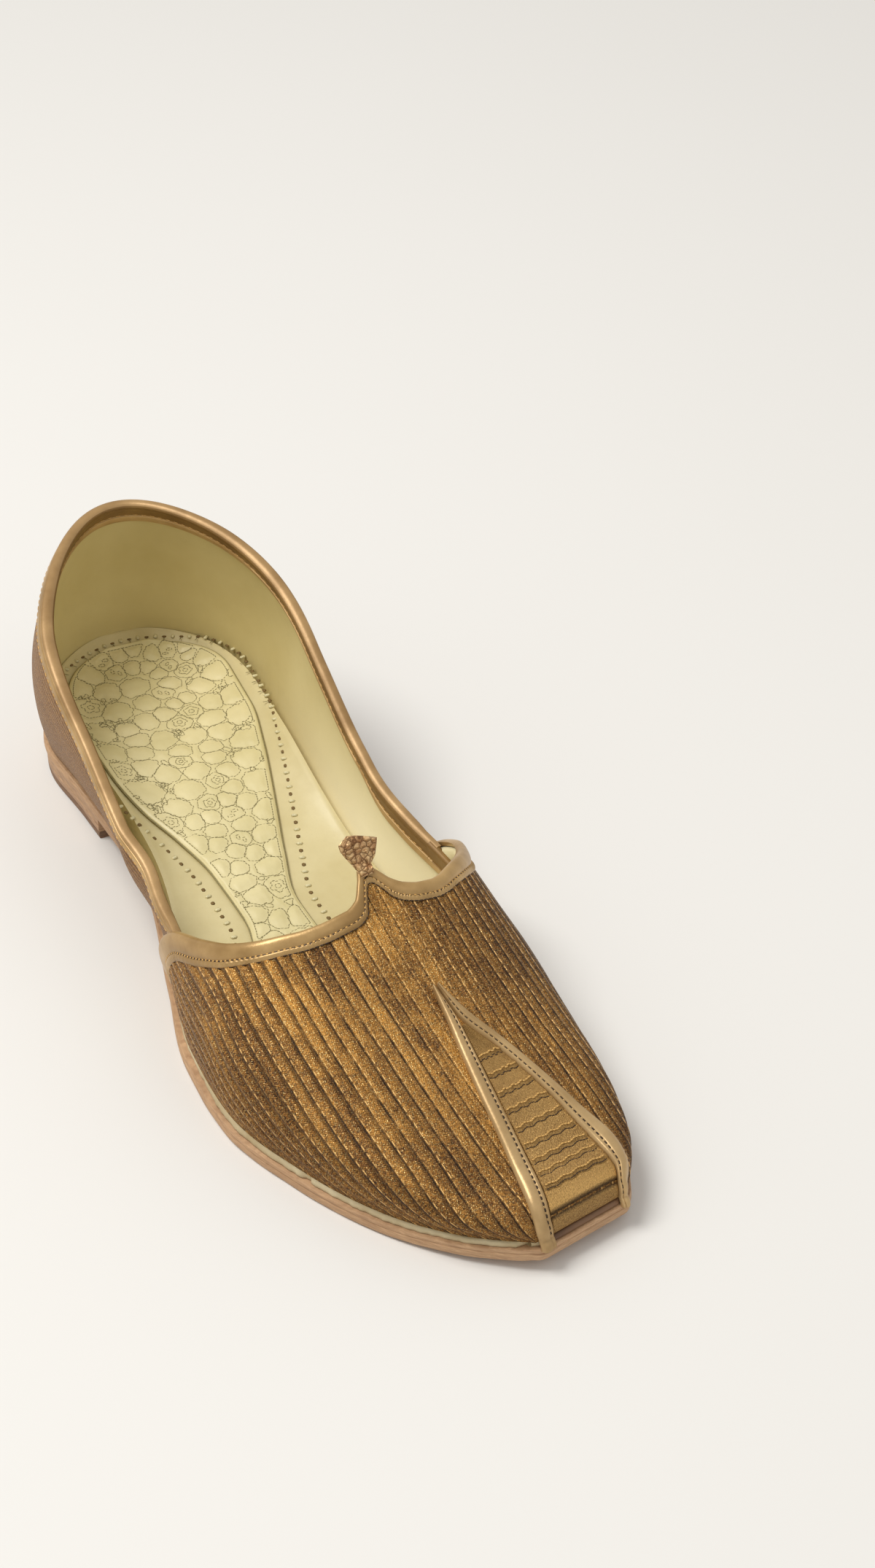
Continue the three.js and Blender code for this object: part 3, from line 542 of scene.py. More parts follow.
RIB = 3.4  # pitch of the stitched ribs, mm
SIDE_RIB = 1.75  # pitch of the finer ribs on the sides
NO_RIB = 500.0  # wider than the panel
RIDGE_V = 400.0  # v on the vamp's ridge
SIDE_V = 900.0  # v at the collar's edge
PANEL_V = 120.0  # v at the heel end, on the panel
GROOVE_STITCH = 1.15
DASH_PITCH = 2.2
WEFT = 0.58
WARP = 0.52


def brocade(name, tones, rib, raised=0.0, sheen_patch=1.0, dash=1.0, shade=0.85, fold=None):
    """Ribbed lurex cloth: u runs along a rib in mm, v across the ribs in mm."""
    dark, mid, gold, spark = (rgb(*tone) for tone in tones)
    p = Paint(name)
    calc, mul, add, sub, span, noise, blend, scaled = (
        p.math, p.mul, p.add, p.sub, p.span, p.noise, p.blend, p.uv_coords)
    uv = scaled()
    u, v, _ = p.parts(uv)
    wander = mul(sub(noise(uv, 0.09, 2), 0.5), 0.14 * rib)
    across = calc("DIVIDE", add(v, wander), rib)
    frac = calc("FRACT", across)
    row = calc("FLOOR", across)
    edge = calc("MINIMUM", frac, sub(1.0, frac))
    # grooves: deep at the sides, shallow and stitched near the ridge; their dark colour is painted shade in
    # the recess, darker where they are deep
    uneven_depth = noise(scaled(0.3, 0.9), 1.0, 3)
    from_ridge = calc("ABSOLUTE", sub(v, RIDGE_V + 2))
    deep = mul(span(from_ridge, 4, 15, 0.25, 1.0), span(v, RIDGE_V - 58, RIDGE_V - 38, 0.25, 1.0))
    beat = calc("FRACT", calc("DIVIDE", u, GROOVE_STITCH))
    sewn = mul(span(beat, 0.1, 0.3), span(beat, 0.7, 0.9, 1.0, 0.0))
    groove = mul(span(edge, 0.025, 0.1, 1.0, 0.0), span(uneven_depth, 0.36, 0.56, 0.35, 1.0),
                 span(deep, 0.2, 1.0, 0.6, 1.0), calc("MAXIMUM", sewn, span(deep, 0.3, 1.0, 0.3, 0.9)))
    # woven ground: crossing threads, soft grains, painted gold sheen and small bright flecks that are painted
    # glints
    weave = mul(calc("SINE", mul(u, 2 * math.pi / WEFT)), calc("SINE", mul(v, 2 * math.pi / WARP)))
    grain = noise(scaled(1.5, 1.9), 1.0, 3, 0.72)
    pick = noise(scaled(3.2, 0.85), 1.0, 2, 0.6)
    fleck = span(noise(uv, 3.1, 1, 0.5), 0.58, 0.7)
    broad = noise(scaled(0.035, 0.07), 1.0, 3, 0.55, 0.5)
    sheen_blotch = noise(scaled(0.27, 0.4), 1.0, 3, 0.6, 0.4)
    rowtone = p.node("ShaderNodeTexWhiteNoise", noise_dimensions="1D", inputs={"W": row}).outputs["Value"]
    # painted highlight: gold sheen patches, faded lower down on the cloth (high), where less light falls
    shine = add(mul(broad, 0.9), mul(sheen_blotch, 0.55), mul(rowtone, 0.16))
    high = span(p.parts(p.object_coords())[2], 0.012, 0.034, 0.35, 1.0)
    lit = mul(span(shine, 0.66, 1.08, 0.0, sheen_patch), high)
    ground = blend(span(grain, 0.4, 0.6), dark, mid)
    ground = blend(mul(span(pick, 0.48, 0.66), add(mul(lit, 0.55), 0.32)), ground, gold)
    ground = blend(mul(lit, span(grain, 0.3, 0.6, 0.25, 0.8)), ground, gold)
    ground = blend(mul(fleck, add(mul(lit, 0.6), 0.4)), ground, spark)
    # painted shade on one side of each rib, falling into the groove, strongest where the grooves are deep
    valley_shade = mul(span(frac, 0.55, 1.0, 0.0, shade), span(uneven_depth, 0.3, 0.6, 0.5, 1.0), deep)
    ground = blend(valley_shade, ground, dark)
    if fold:
        # painted highlight on the fold's upper side, then painted shade in its crease
        fold_highlight = mul(span(v, fold - 9, fold - 3), span(v, fold - 2.2, fold - 1.2, 1.0, 0.0))
        ground = blend(mul(fold_highlight, span(grain, 0.35, 0.6, 0.35, 0.85)), ground, gold)
        crease = mul(span(v, fold - 2.2, fold - 0.8), span(v, fold + 0.9, fold + 2.0, 1.0, 0.0))
        ground = blend(mul(crease, span(grain, 0.3, 0.65, 0.95, 0.7)), ground, rgb(44, 26, 8))
    # pale thread dashes beside each groove
    step = calc("FRACT", add(calc("DIVIDE", u, DASH_PITCH), mul(rowtone, 3.0)))
    on = mul(span(step, 0.12, 0.22), span(step, 0.72, 0.84, 1.0, 0.0))
    lane = mul(span(frac, 0.06, 0.1), span(frac, 0.15, 0.2, 1.0, 0.0))
    seen = span(noise(scaled(0.07, 0.3), 1.0, 2), 0.42, 0.56, 0.15, 1.0)
    dashes = mul(mul(on, lane), mul(seen, dash))
    # painted shade in the grooves
    colour = blend(mul(groove, 0.88), ground, rgb(30, 16, 5))
    colour = blend(dashes, colour, rgb(242, 194, 122))
    height = sub(add(mul(weave, 0.3), mul(grain, 1.1), mul(dashes, 0.9)), mul(groove, 1.6))
    if raised:
        height = add(height, mul(span(edge, 0.0, 0.4), raised))
    p.set(Base_Color=colour, Metallic=0.55, Roughness=span(fleck, 0, 1, 0.48, 0.26),
          Normal=p.bump(height, 0.8, 0.00018))
    return p.mat


def leather(name, light, dark, metallic, rough, grain, bump, mottle=55, foot=None):
    """Smooth leather with pores and soft patches; foot is painted light: a paler colour low down, away from
    the heel.
    """
    light, dark = rgb(*light), rgb(*dark)
    p = Paint(name)
    at = p.object_coords()
    tone = p.noise(at, mottle, 4, 0.6)
    pores = p.cells(at, grain)
    fine = p.noise(at, grain * 1.7, 2)
    colour = p.blend(p.span(tone, 0.35, 0.68), dark, light)
    colour = p.blend(p.span(pores, 0.0, 0.35, 0.25, 0.0), colour, dark)
    # painted light: paler low down, away from the shaded heel
    if foot:
        _, y, z = p.parts(at)
        low = p.mul(p.span(z, 0.016, 0.05, 1.0, 0.0), p.span(y, -0.085, -0.02))
        colour = p.blend(low, colour, rgb(*foot))
    height = p.add(p.mul(pores, 0.7), p.mul(fine, 0.5))
    fold = p.bump(p.noise(at, 140, 3), 0.12, 0.0006, Normal=p.bump(height, bump, 0.0001))
    p.set(Base_Color=colour, Metallic=metallic, Normal=fold,
          Roughness=p.span(tone, 0.3, 0.7, rough[1], rough[0]))
    return p.mat


def cut_edge(name, light, dark):
    """Cut leather edge: fibres lie level, with darker burnished streaks."""
    light, dark = rgb(*light), rgb(*dark)
    p = Paint(name)
    fibre = p.noise(p.object_coords((1, 1, 9)), 260, 4, 0.65, 0.6)
    tone = p.noise(p.object_coords(), 42, 3)
    colour = p.blend(p.span(fibre, 0.36, 0.66), dark, light)
    colour = p.blend(p.span(tone, 0.5, 0.72, 0.0, 0.55), colour, dark)
    p.set(Base_Color=colour, Roughness=p.span(fibre, 0.3, 0.7, 0.5, 0.68), Normal=p.bump(fibre, 0.35, 0.0002))
    return p.mat


def scales(name, light, between, dark):
    """Pebbled leather: scales with a painted highlight in patches, and dark lines of painted shade between
    them.
    """
    p = Paint(name)
    at = p.object_coords()
    # the dark lines along the cell edges are painted shade in the crevices between the scales
    gap = p.cells(at, 640, "DISTANCE_TO_EDGE")
    # the leather's own tone mixed in patches with a paler painted highlight
    sheen_patch = p.blend(p.span(p.noise(at, 420, 2), 0.35, 0.65), rgb(*between), rgb(*light))
    p.set(Base_Color=p.blend(p.span(gap, 0.0, 0.13), rgb(*dark), sheen_patch), Metallic=0.4,
          Roughness=p.span(gap, 0.0, 0.3, 0.6, 0.3), Normal=p.bump(p.span(gap, 0.0, 0.35), 0.9, 0.0005))
    return p.mat


def thread(name, colour, rough=0.5, metallic=0.0):
    light = rgb(*colour)
    shaded = tuple(c * 0.62 for c in light[:3]) + (1.0,)
    p = Paint(name)
    n = p.noise(p.object_coords(), 2600, 2)
    p.set(Base_Color=p.blend(p.span(n, 0.3, 0.7), shaded, light), Roughness=rough, Metallic=metallic,
          Normal=p.bump(n, 0.4, 0.00008))
    return p.mat


# each cloth's dark, middle, gold and sparkling tones
BRONZE = ((50, 27, 5), (128, 82, 30), (224, 162, 74), (255, 230, 160))
ROSE = ((92, 56, 22), (144, 99, 46), (196, 144, 78), (232, 192, 122))
KHAKI = ((120, 88, 44), (170, 132, 76), (216, 172, 102), (242, 206, 138))
M_CLOTH = brocade("ribbed_cloth", BRONZE, RIB)
M_SIDE = brocade("side_cloth", ROSE, SIDE_RIB, raised=1.2, sheen_patch=0.45, dash=0.3, shade=0.45)
M_PANEL = brocade("panel_cloth", KHAKI, NO_RIB, sheen_patch=0.5, dash=0.0, shade=0.0, fold=PANEL_V + 258.5)
# the lining's last colour is painted light, paler low down away from the heel
M_LINING = leather("lining", (224, 209, 154), (210, 193, 134), 0.0, (0.4, 0.55), 900, 0.1, 24,
                   (248, 238, 200))
M_INSOLE = leather("insole_cover", (220, 207, 160), (207, 192, 141), 0.0, (0.36, 0.5), 900, 0.1)
M_PAD = leather("pad_cover", (232, 220, 172), (214, 202, 150), 0.0, (0.36, 0.5), 1300, 0.14)
M_BIND = leather("binding", (202, 166, 110), (156, 122, 72), 0.35, (0.28, 0.42), 1500, 0.2)
M_PIPE = leather("collar_roll", (190, 154, 104), (150, 116, 70), 0.25, (0.34, 0.48), 1500, 0.16)
M_FACING = leather("facing", (146, 112, 60), (118, 86, 42), 0.25, (0.38, 0.52), 1300, 0.2)
M_HEM = leather("facing_hem", (206, 172, 118), (176, 140, 88), 0.25, (0.36, 0.5), 1300, 0.25)
M_STRAP = leather("toe_strap", (204, 172, 122), (168, 136, 90), 0.4, (0.3, 0.42), 1200, 0.22)
# the finial's palest tone is a painted highlight, its darkest painted shade between the scales
M_FINIAL = scales("finial_leather", (240, 204, 150), (196, 146, 98), (118, 78, 42))
M_RAND = leather("rand_leather", (214, 200, 164), (176, 156, 116), 0.0, (0.5, 0.68), 1500, 0.2)
M_FRONT = leather("front_strip", (126, 92, 62), (92, 64, 42), 0.0, (0.5, 0.68), 1500, 0.2)
M_SOLE = cut_edge("sole_edge", (204, 166, 126), (170, 132, 96))
M_HEEL = cut_edge("heel_edge", (200, 162, 124), (160, 124, 92))
M_TOP = cut_edge("heel_top_edge", (146, 112, 84), (104, 76, 54))
# dark beads of painted shade: in the throat's stitch holes, under its front edge and behind the panel's gold
# bars
M_DARK_SHADE = thread("dark_shade", (62, 40, 20))
M_GOLD = thread("gold_thread", (224, 178, 104), 0.4, 0.3)
M_PALE = thread("pale_thread", (240, 230, 184))
# grey: the quilting's thread, and painted shade for the insole's gathers and along the pad's seam
M_GREY_THREAD_AND_SHADE = thread("grey_thread_and_shade", (156, 145, 100), 0.6)
# dark beads of painted shade in the straps' punched holes
M_HOLE_SHADE = thread("punched_hole_shade", (64, 46, 26), 0.8)
# tan beads of painted shade in the insole's punched holes
M_PRICK_SHADE = thread("insole_hole_shade", (132, 106, 60), 0.8)

# Girth from the ridge, so that the cloth ribs keep an even pitch
GIRTH_FROM = 0.45
GIRTH_S = np.linspace(GIRTH_FROM, 1.0, 111)
GIRTH_TURN = np.linspace(0, 1, 401)
BALL_ROW = 50  # the row at the ball of the foot
steps = np.linalg.norm(np.diff(vamp(GIRTH_S[:, None], 1.0, GIRTH_TURN[None, :], 0.0), axis=1), axis=2)
GIRTH = np.pad(np.cumsum(steps, 1), ((0, 0), (1, 0)))
GIRTH -= GIRTH[:, 200:201].copy()


def girth(s, turn):
    """Length along the vamp's girth from the ridge, in mm."""
    a = np.clip((s - GIRTH_FROM) / (1 - GIRTH_FROM) * 110, 0, 109.999)
    b = np.clip(turn * 400, 0, 399.999)
    i, j = a.astype(int), b.astype(int)
    fa, fb = a - i, b - j
    g = GIRTH
    return mix(mix(g[i, j], g[i + 1, j], fa), mix(g[i, j + 1], g[i + 1, j + 1], fa), fb)


def rib_relief(v, high):
    """Puffed cloth between the stitched lines: 0 in a groove, high on a rib."""
    f = v / RIB - np.floor(v / RIB)
    return high * (1 - np.abs(2 * f - 1) ** 2.6) ** 0.8


def slow_noise(x, y, seed):
    """Smooth wave noise for slight unevenness, the same on each run."""
    r = np.random.default_rng(seed)
    out = 0
    for _ in range(7):
        a, b, c = r.uniform(-0.16, 0.16), r.uniform(-0.3, 0.3), r.uniform(0, 6.28)
        out = out + np.sin(a * x + b * y + c)
    return out / 7


# Upper
def make_vamp():
    step_i, step_j, columns = 4, 8, 457
    runs = np.concatenate([np.linspace(0, 1, 97)[:-1], 1 + np.linspace(0, 1, 25)])
    # spread the columns evenly by girth at the ball
    ball = GIRTH[BALL_ROW]
    even = np.interp(np.linspace(ball[0], ball[-1], columns), ball, GIRTH_TURN)
    turns = mix(even, np.linspace(0, 1, columns), 0.25)
    turns[columns // 2] = 0.5
    run, turn = np.meshgrid(runs, turns, indexing="ij")
    s, keep = along_toe(throat_at(turn), run, 0.0)
    g = girth(s, turn)
    v = g + 0.45 * slow_noise(s * SHOE_LEN, g, 3)
    hem = smooth(0.0, 0.03, turn) * smooth(1.0, 0.97, turn) * smooth(0.0, 0.05, run) * smooth(1.9, 1.35, run)
    puff = mix(0.28, 0.72, smooth(6, 28, np.abs(g + 4))) * (1 - 0.45 * smooth(48, 66, g))
    relief = (rib_relief(v, puff) - 0.14 + 0.2 * slow_noise(s * SHOE_LEN * 1.7, g * 0.8, 5)) * hem
    inner_s, inner_keep = along_toe(throat_at(turn), run, WALL)
    inner = vamp(inner_s, inner_keep, turn, WALL)[::step_i, ::step_j]
    uv = np.stack([s * SHOE_LEN + (1 - keep) * TOE_FACE_LEN, v + RIDGE_V], -1)
    outer = vamp(s, keep, turn, -relief)
    obj = double_sheet("vamp", outer, inner, step_i, step_j, [M_CLOTH, M_LINING], uv, 0)
    piece(merge_coincident(obj), "ribbed_brocade", "upper")


def make_quarters():
    step, n = 4, 161
    half = np.linspace(0, 1, n) ** 1.45
    sides = np.concatenate([np.ones(n), -np.ones(n - 1)])
    q, up = np.meshgrid(np.concatenate([half[::-1], half[1:]]), np.linspace(0, 1, 97), indexing="ij")
    side = np.broadcast_to(sides[:, None], q.shape)
    flat = quarter(q, up, side, 0.0)
    down = np.linalg.norm(np.diff(flat, axis=1), axis=2)
    from_top = np.pad(np.cumsum(down[:, ::-1], 1)[:, ::-1], ((0, 0), (0, 1)))
    along = np.pad(np.cumsum(np.linalg.norm(np.diff(flat[:, 40], axis=0), axis=1)), (1, 0))
    along = np.broadcast_to(along[:, None], q.shape)
    v = from_top + 0.35 * slow_noise(along, from_top, 8)
    relief = 0.16 * slow_noise(along, from_top, 9) * smooth(0, 0.06, up) * smooth(1, 0.96, up)
    inner = quarter(q, up, side, WALL)[::step, ::step]
    uv = np.stack([along, v + SIDE_V], -1)
    outer = quarter(q, up, side, -relief)
    obj = double_sheet("quarters", outer, inner, step, step, [M_SIDE, M_LINING], uv, 0)
    piece(obj, "ribbed_brocade", "upper")


# Sole, heel and rand
RIM_N = 150  # steps along each side of a layer's rim
RIM_FRONT = 14  # steps across its front


def layer_half(s, side, grow):
    first, last = -grow / SHOE_LEN, 1 + grow / SHOE_LEN
    half = (base_half(s, side) + grow) * round_end((s - first) / HEEL_ROUND, HEEL_POWER)
    near = np.clip((last - s) * SHOE_LEN / TOE_CORNER_R, 0, 1)
    return half - TOE_CORNER_R * (1 - np.sqrt(1 - (1 - near) ** 2))


def shares(n, start, end):
    k = np.linspace(0, 1, n + 1)
    return np.where(k < 0.5, 0.5 * (2 * k) ** start, 1 - 0.5 * np.maximum(2 - 2 * k, 0) ** end)


def rim_path():
    """Stations and sideways shares round a layer: outer side, front, inner side."""
    ks = shares(RIM_N, 2.3, 2.0)
    rows = [(k, 1.0, 1) for k in ks]
    rows += [(1.0, abs(1 - 2 * c / RIM_FRONT), 1 if c < RIM_FRONT / 2 else -1) for c in range(1, RIM_FRONT)]
    rows += [(k, 1.0, -1) for k in ks[::-1][:-1]]
    return np.array(rows)


def stack(name, steps, mat, slot, to, wobble, seed):
    """A layer drawn as rings of (grow, height) functions, with a flat top and bottom."""
    k, share, side = rim_path().T
    rings = []
    for grow_of, high in steps:
        grow = grow_of(k * to)
        last = to if to < 1 else 1 + grow / SHOE_LEN
        s = mix(-grow_of(np.zeros(1))[0] / SHOE_LEN, last, k)
        uneven = wobble * slow_noise(s * 900, np.full_like(s, high(s).mean() * 30), seed)
        rings.append(place(s, side * share * (layer_half(s, side, grow) + uneven), high(s)))
    m = len(k)
    faces = ring_faces(len(rings), m)
    med = [0] + list(range(m - 1, m - RIM_N - 1, -1))
    plan = [[0, 1, med[1]]] + [[i, i + 1, med[i + 1], med[i]] for i in range(1, RIM_N - 1)]
    plan.append([RIM_N - 1] + list(range(RIM_N, RIM_N + RIM_FRONT + 1)) + [med[RIM_N - 1]])
    for low in plan:
        faces += [low, [v + (len(rings) - 1) * m for v in low[::-1]]]
    obj = finish_mesh(name, np.concatenate(rings), faces, [mat], sharp=38)
    piece(merge_coincident(obj), slot, name)


def sole_edge(s):
    return mix(SOLE_EDGE_HEEL, SOLE_EDGE_FORE, smooth(0.3, 0.6, s))


def make_sole():
    def sole(out, up):
        return lambda s: sole_edge(s) + out, lambda s: sole_bottom(s) + SOLE_T * up

    def flat(out, z):
        return lambda s: np.full_like(s, HEEL_EDGE + out), lambda s: np.full_like(s, z)
    low, high = TOP_PIECE_T + GAP * 0.4, HEEL_LIFT - GAP * 0.4
    mid = (low + high) / 2
    for name, kind, rows, mat, slot, to, wobble, seed in (
            ("outsole", sole, [(-0.9, 0), (-0.4, 0.03), (-0.1, 0.12), (0, 0.26), (0, 0.58), (-0.12, 0.64),
                               (-0.26, 0.67), (-0.26, 0.7), (-0.1, 0.74), (-0.08, 0.9), (-0.25, 0.98),
                               (-0.5, 1.0)],
             M_SOLE, "sole_leather", 1.0, 0.12, 21),
            ("heel_top_piece", flat, [(-0.5, 0), (-0.15, 0.25), (0, 0.8), (0, 1.6), (-0.2, TOP_PIECE_T)],
             M_TOP, "heel_leather", HEEL_END, 0.1, 22),
            ("heel_lift", flat, [(-0.2, low), (0, low + 0.3), (0.05, mid - 0.25), (-0.2, mid),
                                 (0.05, mid + 0.25), (0, high - 0.2), (-0.2, high)],
             M_HEEL, "sole_leather", HEEL_END, 0.1, 23)):
        stack(name, [kind(*row) for row in rows], mat, slot, to, wobble, seed)


def make_rand():
    n, front = 240, 29
    marks = mix(RAND_FROM, 1.0, 1 - (1 - np.linspace(0, 1, n)) ** 1.2)
    c = np.linspace(0, 1, front + 2)[1:-1]
    mark = np.concatenate([marks, np.ones(front), marks[::-1]])
    side = np.concatenate([np.ones(n), np.where(c < 0.5, 1.0, -1.0), -np.ones(n)])
    share = np.concatenate([np.ones(n), np.abs(1 - 2 * c), np.ones(n)])
    profile = [(-RAND_IN, 0.0), (RAND_OUT - 0.2, 0.0), (RAND_OUT, 0.25), (RAND_OUT - 0.05, 0.55),
               (RAND_OUT - 0.3, 0.85), (RAND_OUT - 0.8, 1.0), (-RAND_IN, 1.0)]
    # ragged edge with a few nicks, narrower behind the ball
    r = np.random.default_rng(5)
    ragged = np.convolve(r.normal(0, 1, len(mark)), [0.25, 0.5, 0.25], "same") * 0.16
    for spot in r.integers(20, len(mark) - 20, 7):
        ragged[spot:spot + 3] -= 0.7
    ragged -= 0.4 + 0.5 * (1 - smooth(0.6, 0.7, mark))
    rings = []
    for grow, up in profile:
        s = mark * (1 + grow / SHOE_LEN)
        z = mix(sole_top(s) + GAP * 0.3, foot_line(s) - GAP * 0.2, up)
        rings.append(place(s, side * share * layer_half(s, side, grow + ragged * (grow > 0)), z))
    obj = tube("rand", np.stack(rings, 1), [M_RAND, M_FRONT])
    ring = np.arange(len(obj.data.polygons)) // len(profile)
    split_materials(obj.data, (ring > n - 4) & (ring < n + front + 3))
    piece(merge_coincident(obj), "rand_leather", "rand")


# Insole and pad
def insole_grow(s):
    lap = smooth(LAP_FROM - 0.05, LAP_TO - 0.03, s) * (1 - smooth(QUARTER_END + 0.02, QUARTER_END + 0.08, s))
    return -WALL - SIDE_CLEAR - LAP * lap


def insole_top(s, rho):
    thick = mix(INSOLE_T_HEEL, INSOLE_T_TOE, smooth(0.12, 0.75, s))
    cup = INSOLE_CUP * (1 - smooth(HEEL_END, INSOLE_CUP_END, s))
    back = np.clip(1 - (s * SHOE_LEN - WALL - SIDE_CLEAR) / INSOLE_CUP_RUN, 0, 1)
    return sole_top(s) + GAP + thick + cup * (1 - (1 - np.abs(rho) ** 4) * (1 - back ** 4))


def insole_at(s, x):
    """Height of the insole's top at a sideways distance."""
    half = np.maximum(layer_half(s, side_of(x), insole_grow(s) + 0.5), 0.5)
    return insole_top(s, np.clip(np.abs(x) / half, 0, 1))


def make_insole():
    k, r = np.meshgrid(shares(110, 2.1, 1.7), np.linspace(-1, 1, 61), indexing="ij")
    rho = np.abs(r)
    grow = insole_grow(k) + 0.55
    s = mix(-grow[0, 0] / SHOE_LEN, 1 + grow / SHOE_LEN, k)
    x = r * layer_half(s, side_of(r), grow)
    lip = 0.12 * smooth(0.9, 0.96, rho) - 0.55 * smooth(0.96, 1.0, rho)
    top = place(s, x, insole_top(s, rho) + lip)
    low = place(s, x, sole_top(s) + GAP)
    obj = double_sheet("insole", top[:, ::-1], low[:, ::-1], 1, 1, [M_INSOLE], None, 40)
    piece(merge_coincident(obj), "lining_leather", "insole")


def pad_half(s, side):
    ends = round_end((s - PAD_FROM) / PAD_ROUND, 2.3) * round_end((PAD_TO - s) / PAD_ROUND, 2.3)
    return np.maximum(BALL_HALF * np.where(side > 0, pad_outer(s), pad_inner(s)) * ends, 0)


def pad_edge_path(grow, n):
    """Closed plan path (s, x) round the pad, moved outwards by grow(s) mm."""
    s = mix(PAD_FROM, PAD_TO, shares(n // 2, 2.2, 2.2))
    outer, inner = (np.stack([s, side * pad_half(s, side)], -1) for side in (1.0, -1.0))
    ring = np.concatenate([outer, inner[::-1][1:-1]])
    flat = ring * [SHOE_LEN, 1]
    t = unit(np.roll(flat, -2, 0) - np.roll(flat, 2, 0))
    flat += np.stack([-t[:, 1], t[:, 0]], -1) * grow(ring[:, :1])
    return flat / [SHOE_LEN, 1]


def relax(points, probe, rounds):
    """Spread points evenly over the area that the probe points fill."""
    pts = points.copy()
    for _ in range(rounds):
        nearest = ((probe[:, None] - pts[None]) ** 2).sum(-1).argmin(1)
        for i in range(len(pts)):
            mine = probe[nearest == i]
            if len(mine):
                pts[i] = mix(pts[i], mine.mean(0), 0.6)
    return pts


CELLS = 124  # pebbles of the quilting
CELL_REACH = 6.6  # mm
CURLS = 64


def bearing(a):
    return np.array([math.cos(a), math.sin(a)])


def pad_pattern():
    """Outlines of the stitched pebbles and blossoms, each a closed loop of (y, x) in mm."""
    r = np.random.default_rng(17)
    y = r.uniform(PAD_Y0, PAD_Y1, 9000)
    x = r.uniform(-30, 30, 9000)
    probe = np.stack([y, x], -1)[np.abs(x) < pad_half(y / SHOE_LEN, x) - 1.0]
    seeds = relax(probe[r.choice(len(probe), CELLS, replace=False)], probe, 3)
    angles = np.linspace(0, 2 * np.pi, 40, endpoint=False)
    circle = np.stack([np.cos(angles), np.sin(angles)], -1)
    loops = []
    for i, c in enumerate(seeds):
        # each cell reaches half way to its neighbours, up to a limit
        others = np.delete(seeds, i, 0) - c
        others = others[np.linalg.norm(others, axis=1) < 34]
        along = others @ circle.T
        lim = np.where(along > 1e-6, (others ** 2).sum(1)[:, None] / (2 * np.maximum(along, 1e-6)), 99)
        reach = np.minimum(lim.min(0), CELL_REACH)
        for _ in range(3):
            reach = (np.roll(reach, 1) + reach + np.roll(reach, -1)) / 3
        reach = mix(reach, np.minimum(reach, reach.min() * 1.25), 0.6)
        wave = 1 + 0.05 * np.sin(angles * (7 + i % 4) + i) + 0.03 * np.sin(angles * 13 + 2 * i)
        loop = c + circle * (reach * 0.95 * wave)[:, None]
        loop[:, 0] = np.clip(loop[:, 0], PAD_Y0 + 1.6, PAD_Y1 - 2)
        outer, inner = (pad_half(loop[:, 0] / SHOE_LEN, side) - 1.3 for side in (1.0, -1.0))
        loop[:, 1] = np.clip(loop[:, 1], -inner, outer)
        loops.append(loop)
        small = reach.min()
        if i % 8 == 0:
            loops.append(c + circle * small * 0.24)
            ph = r.uniform(0, 6.28)
            petal = 0.8 * small * (0.62 + 0.3 * np.abs(np.cos((5 + i % 2) * (angles + ph) / 2)))
            loops.append(c + circle * petal[:, None])
        elif i % 8 == 4:
            ph = r.uniform(0, 6.28)
            cos, sin = bearing(ph + 0.8)
            oval = circle * [small * 0.34, small * 0.17] @ np.array([[cos, sin], [-sin, cos]])
            loops += [c + bearing(ph + 3.14 * k) * small * 0.42 + oval for k in range(2)]
    # small curls in the corners between the cells
    off = np.sqrt(((probe[:, None] - seeds[None]) ** 2).sum(-1)).min(1)
    corners = probe[off > np.quantile(off, 0.9)]
    for c in corners[r.choice(len(corners), CURLS, replace=False)]:
        size, lobes, ph = r.uniform(0.9, 1.4), int(r.integers(2, 4)), r.uniform(0, 6.28)
        curl = size * (0.75 + 0.3 * np.sin(lobes * angles + ph))
        loops.append(c + circle * [r.uniform(0.8, 1.6), 1] * curl[:, None])
    return loops


def pad_top(y, x, puff):
    return insole_at(y / SHOE_LEN, x) + PAD_T - 0.2 + puff


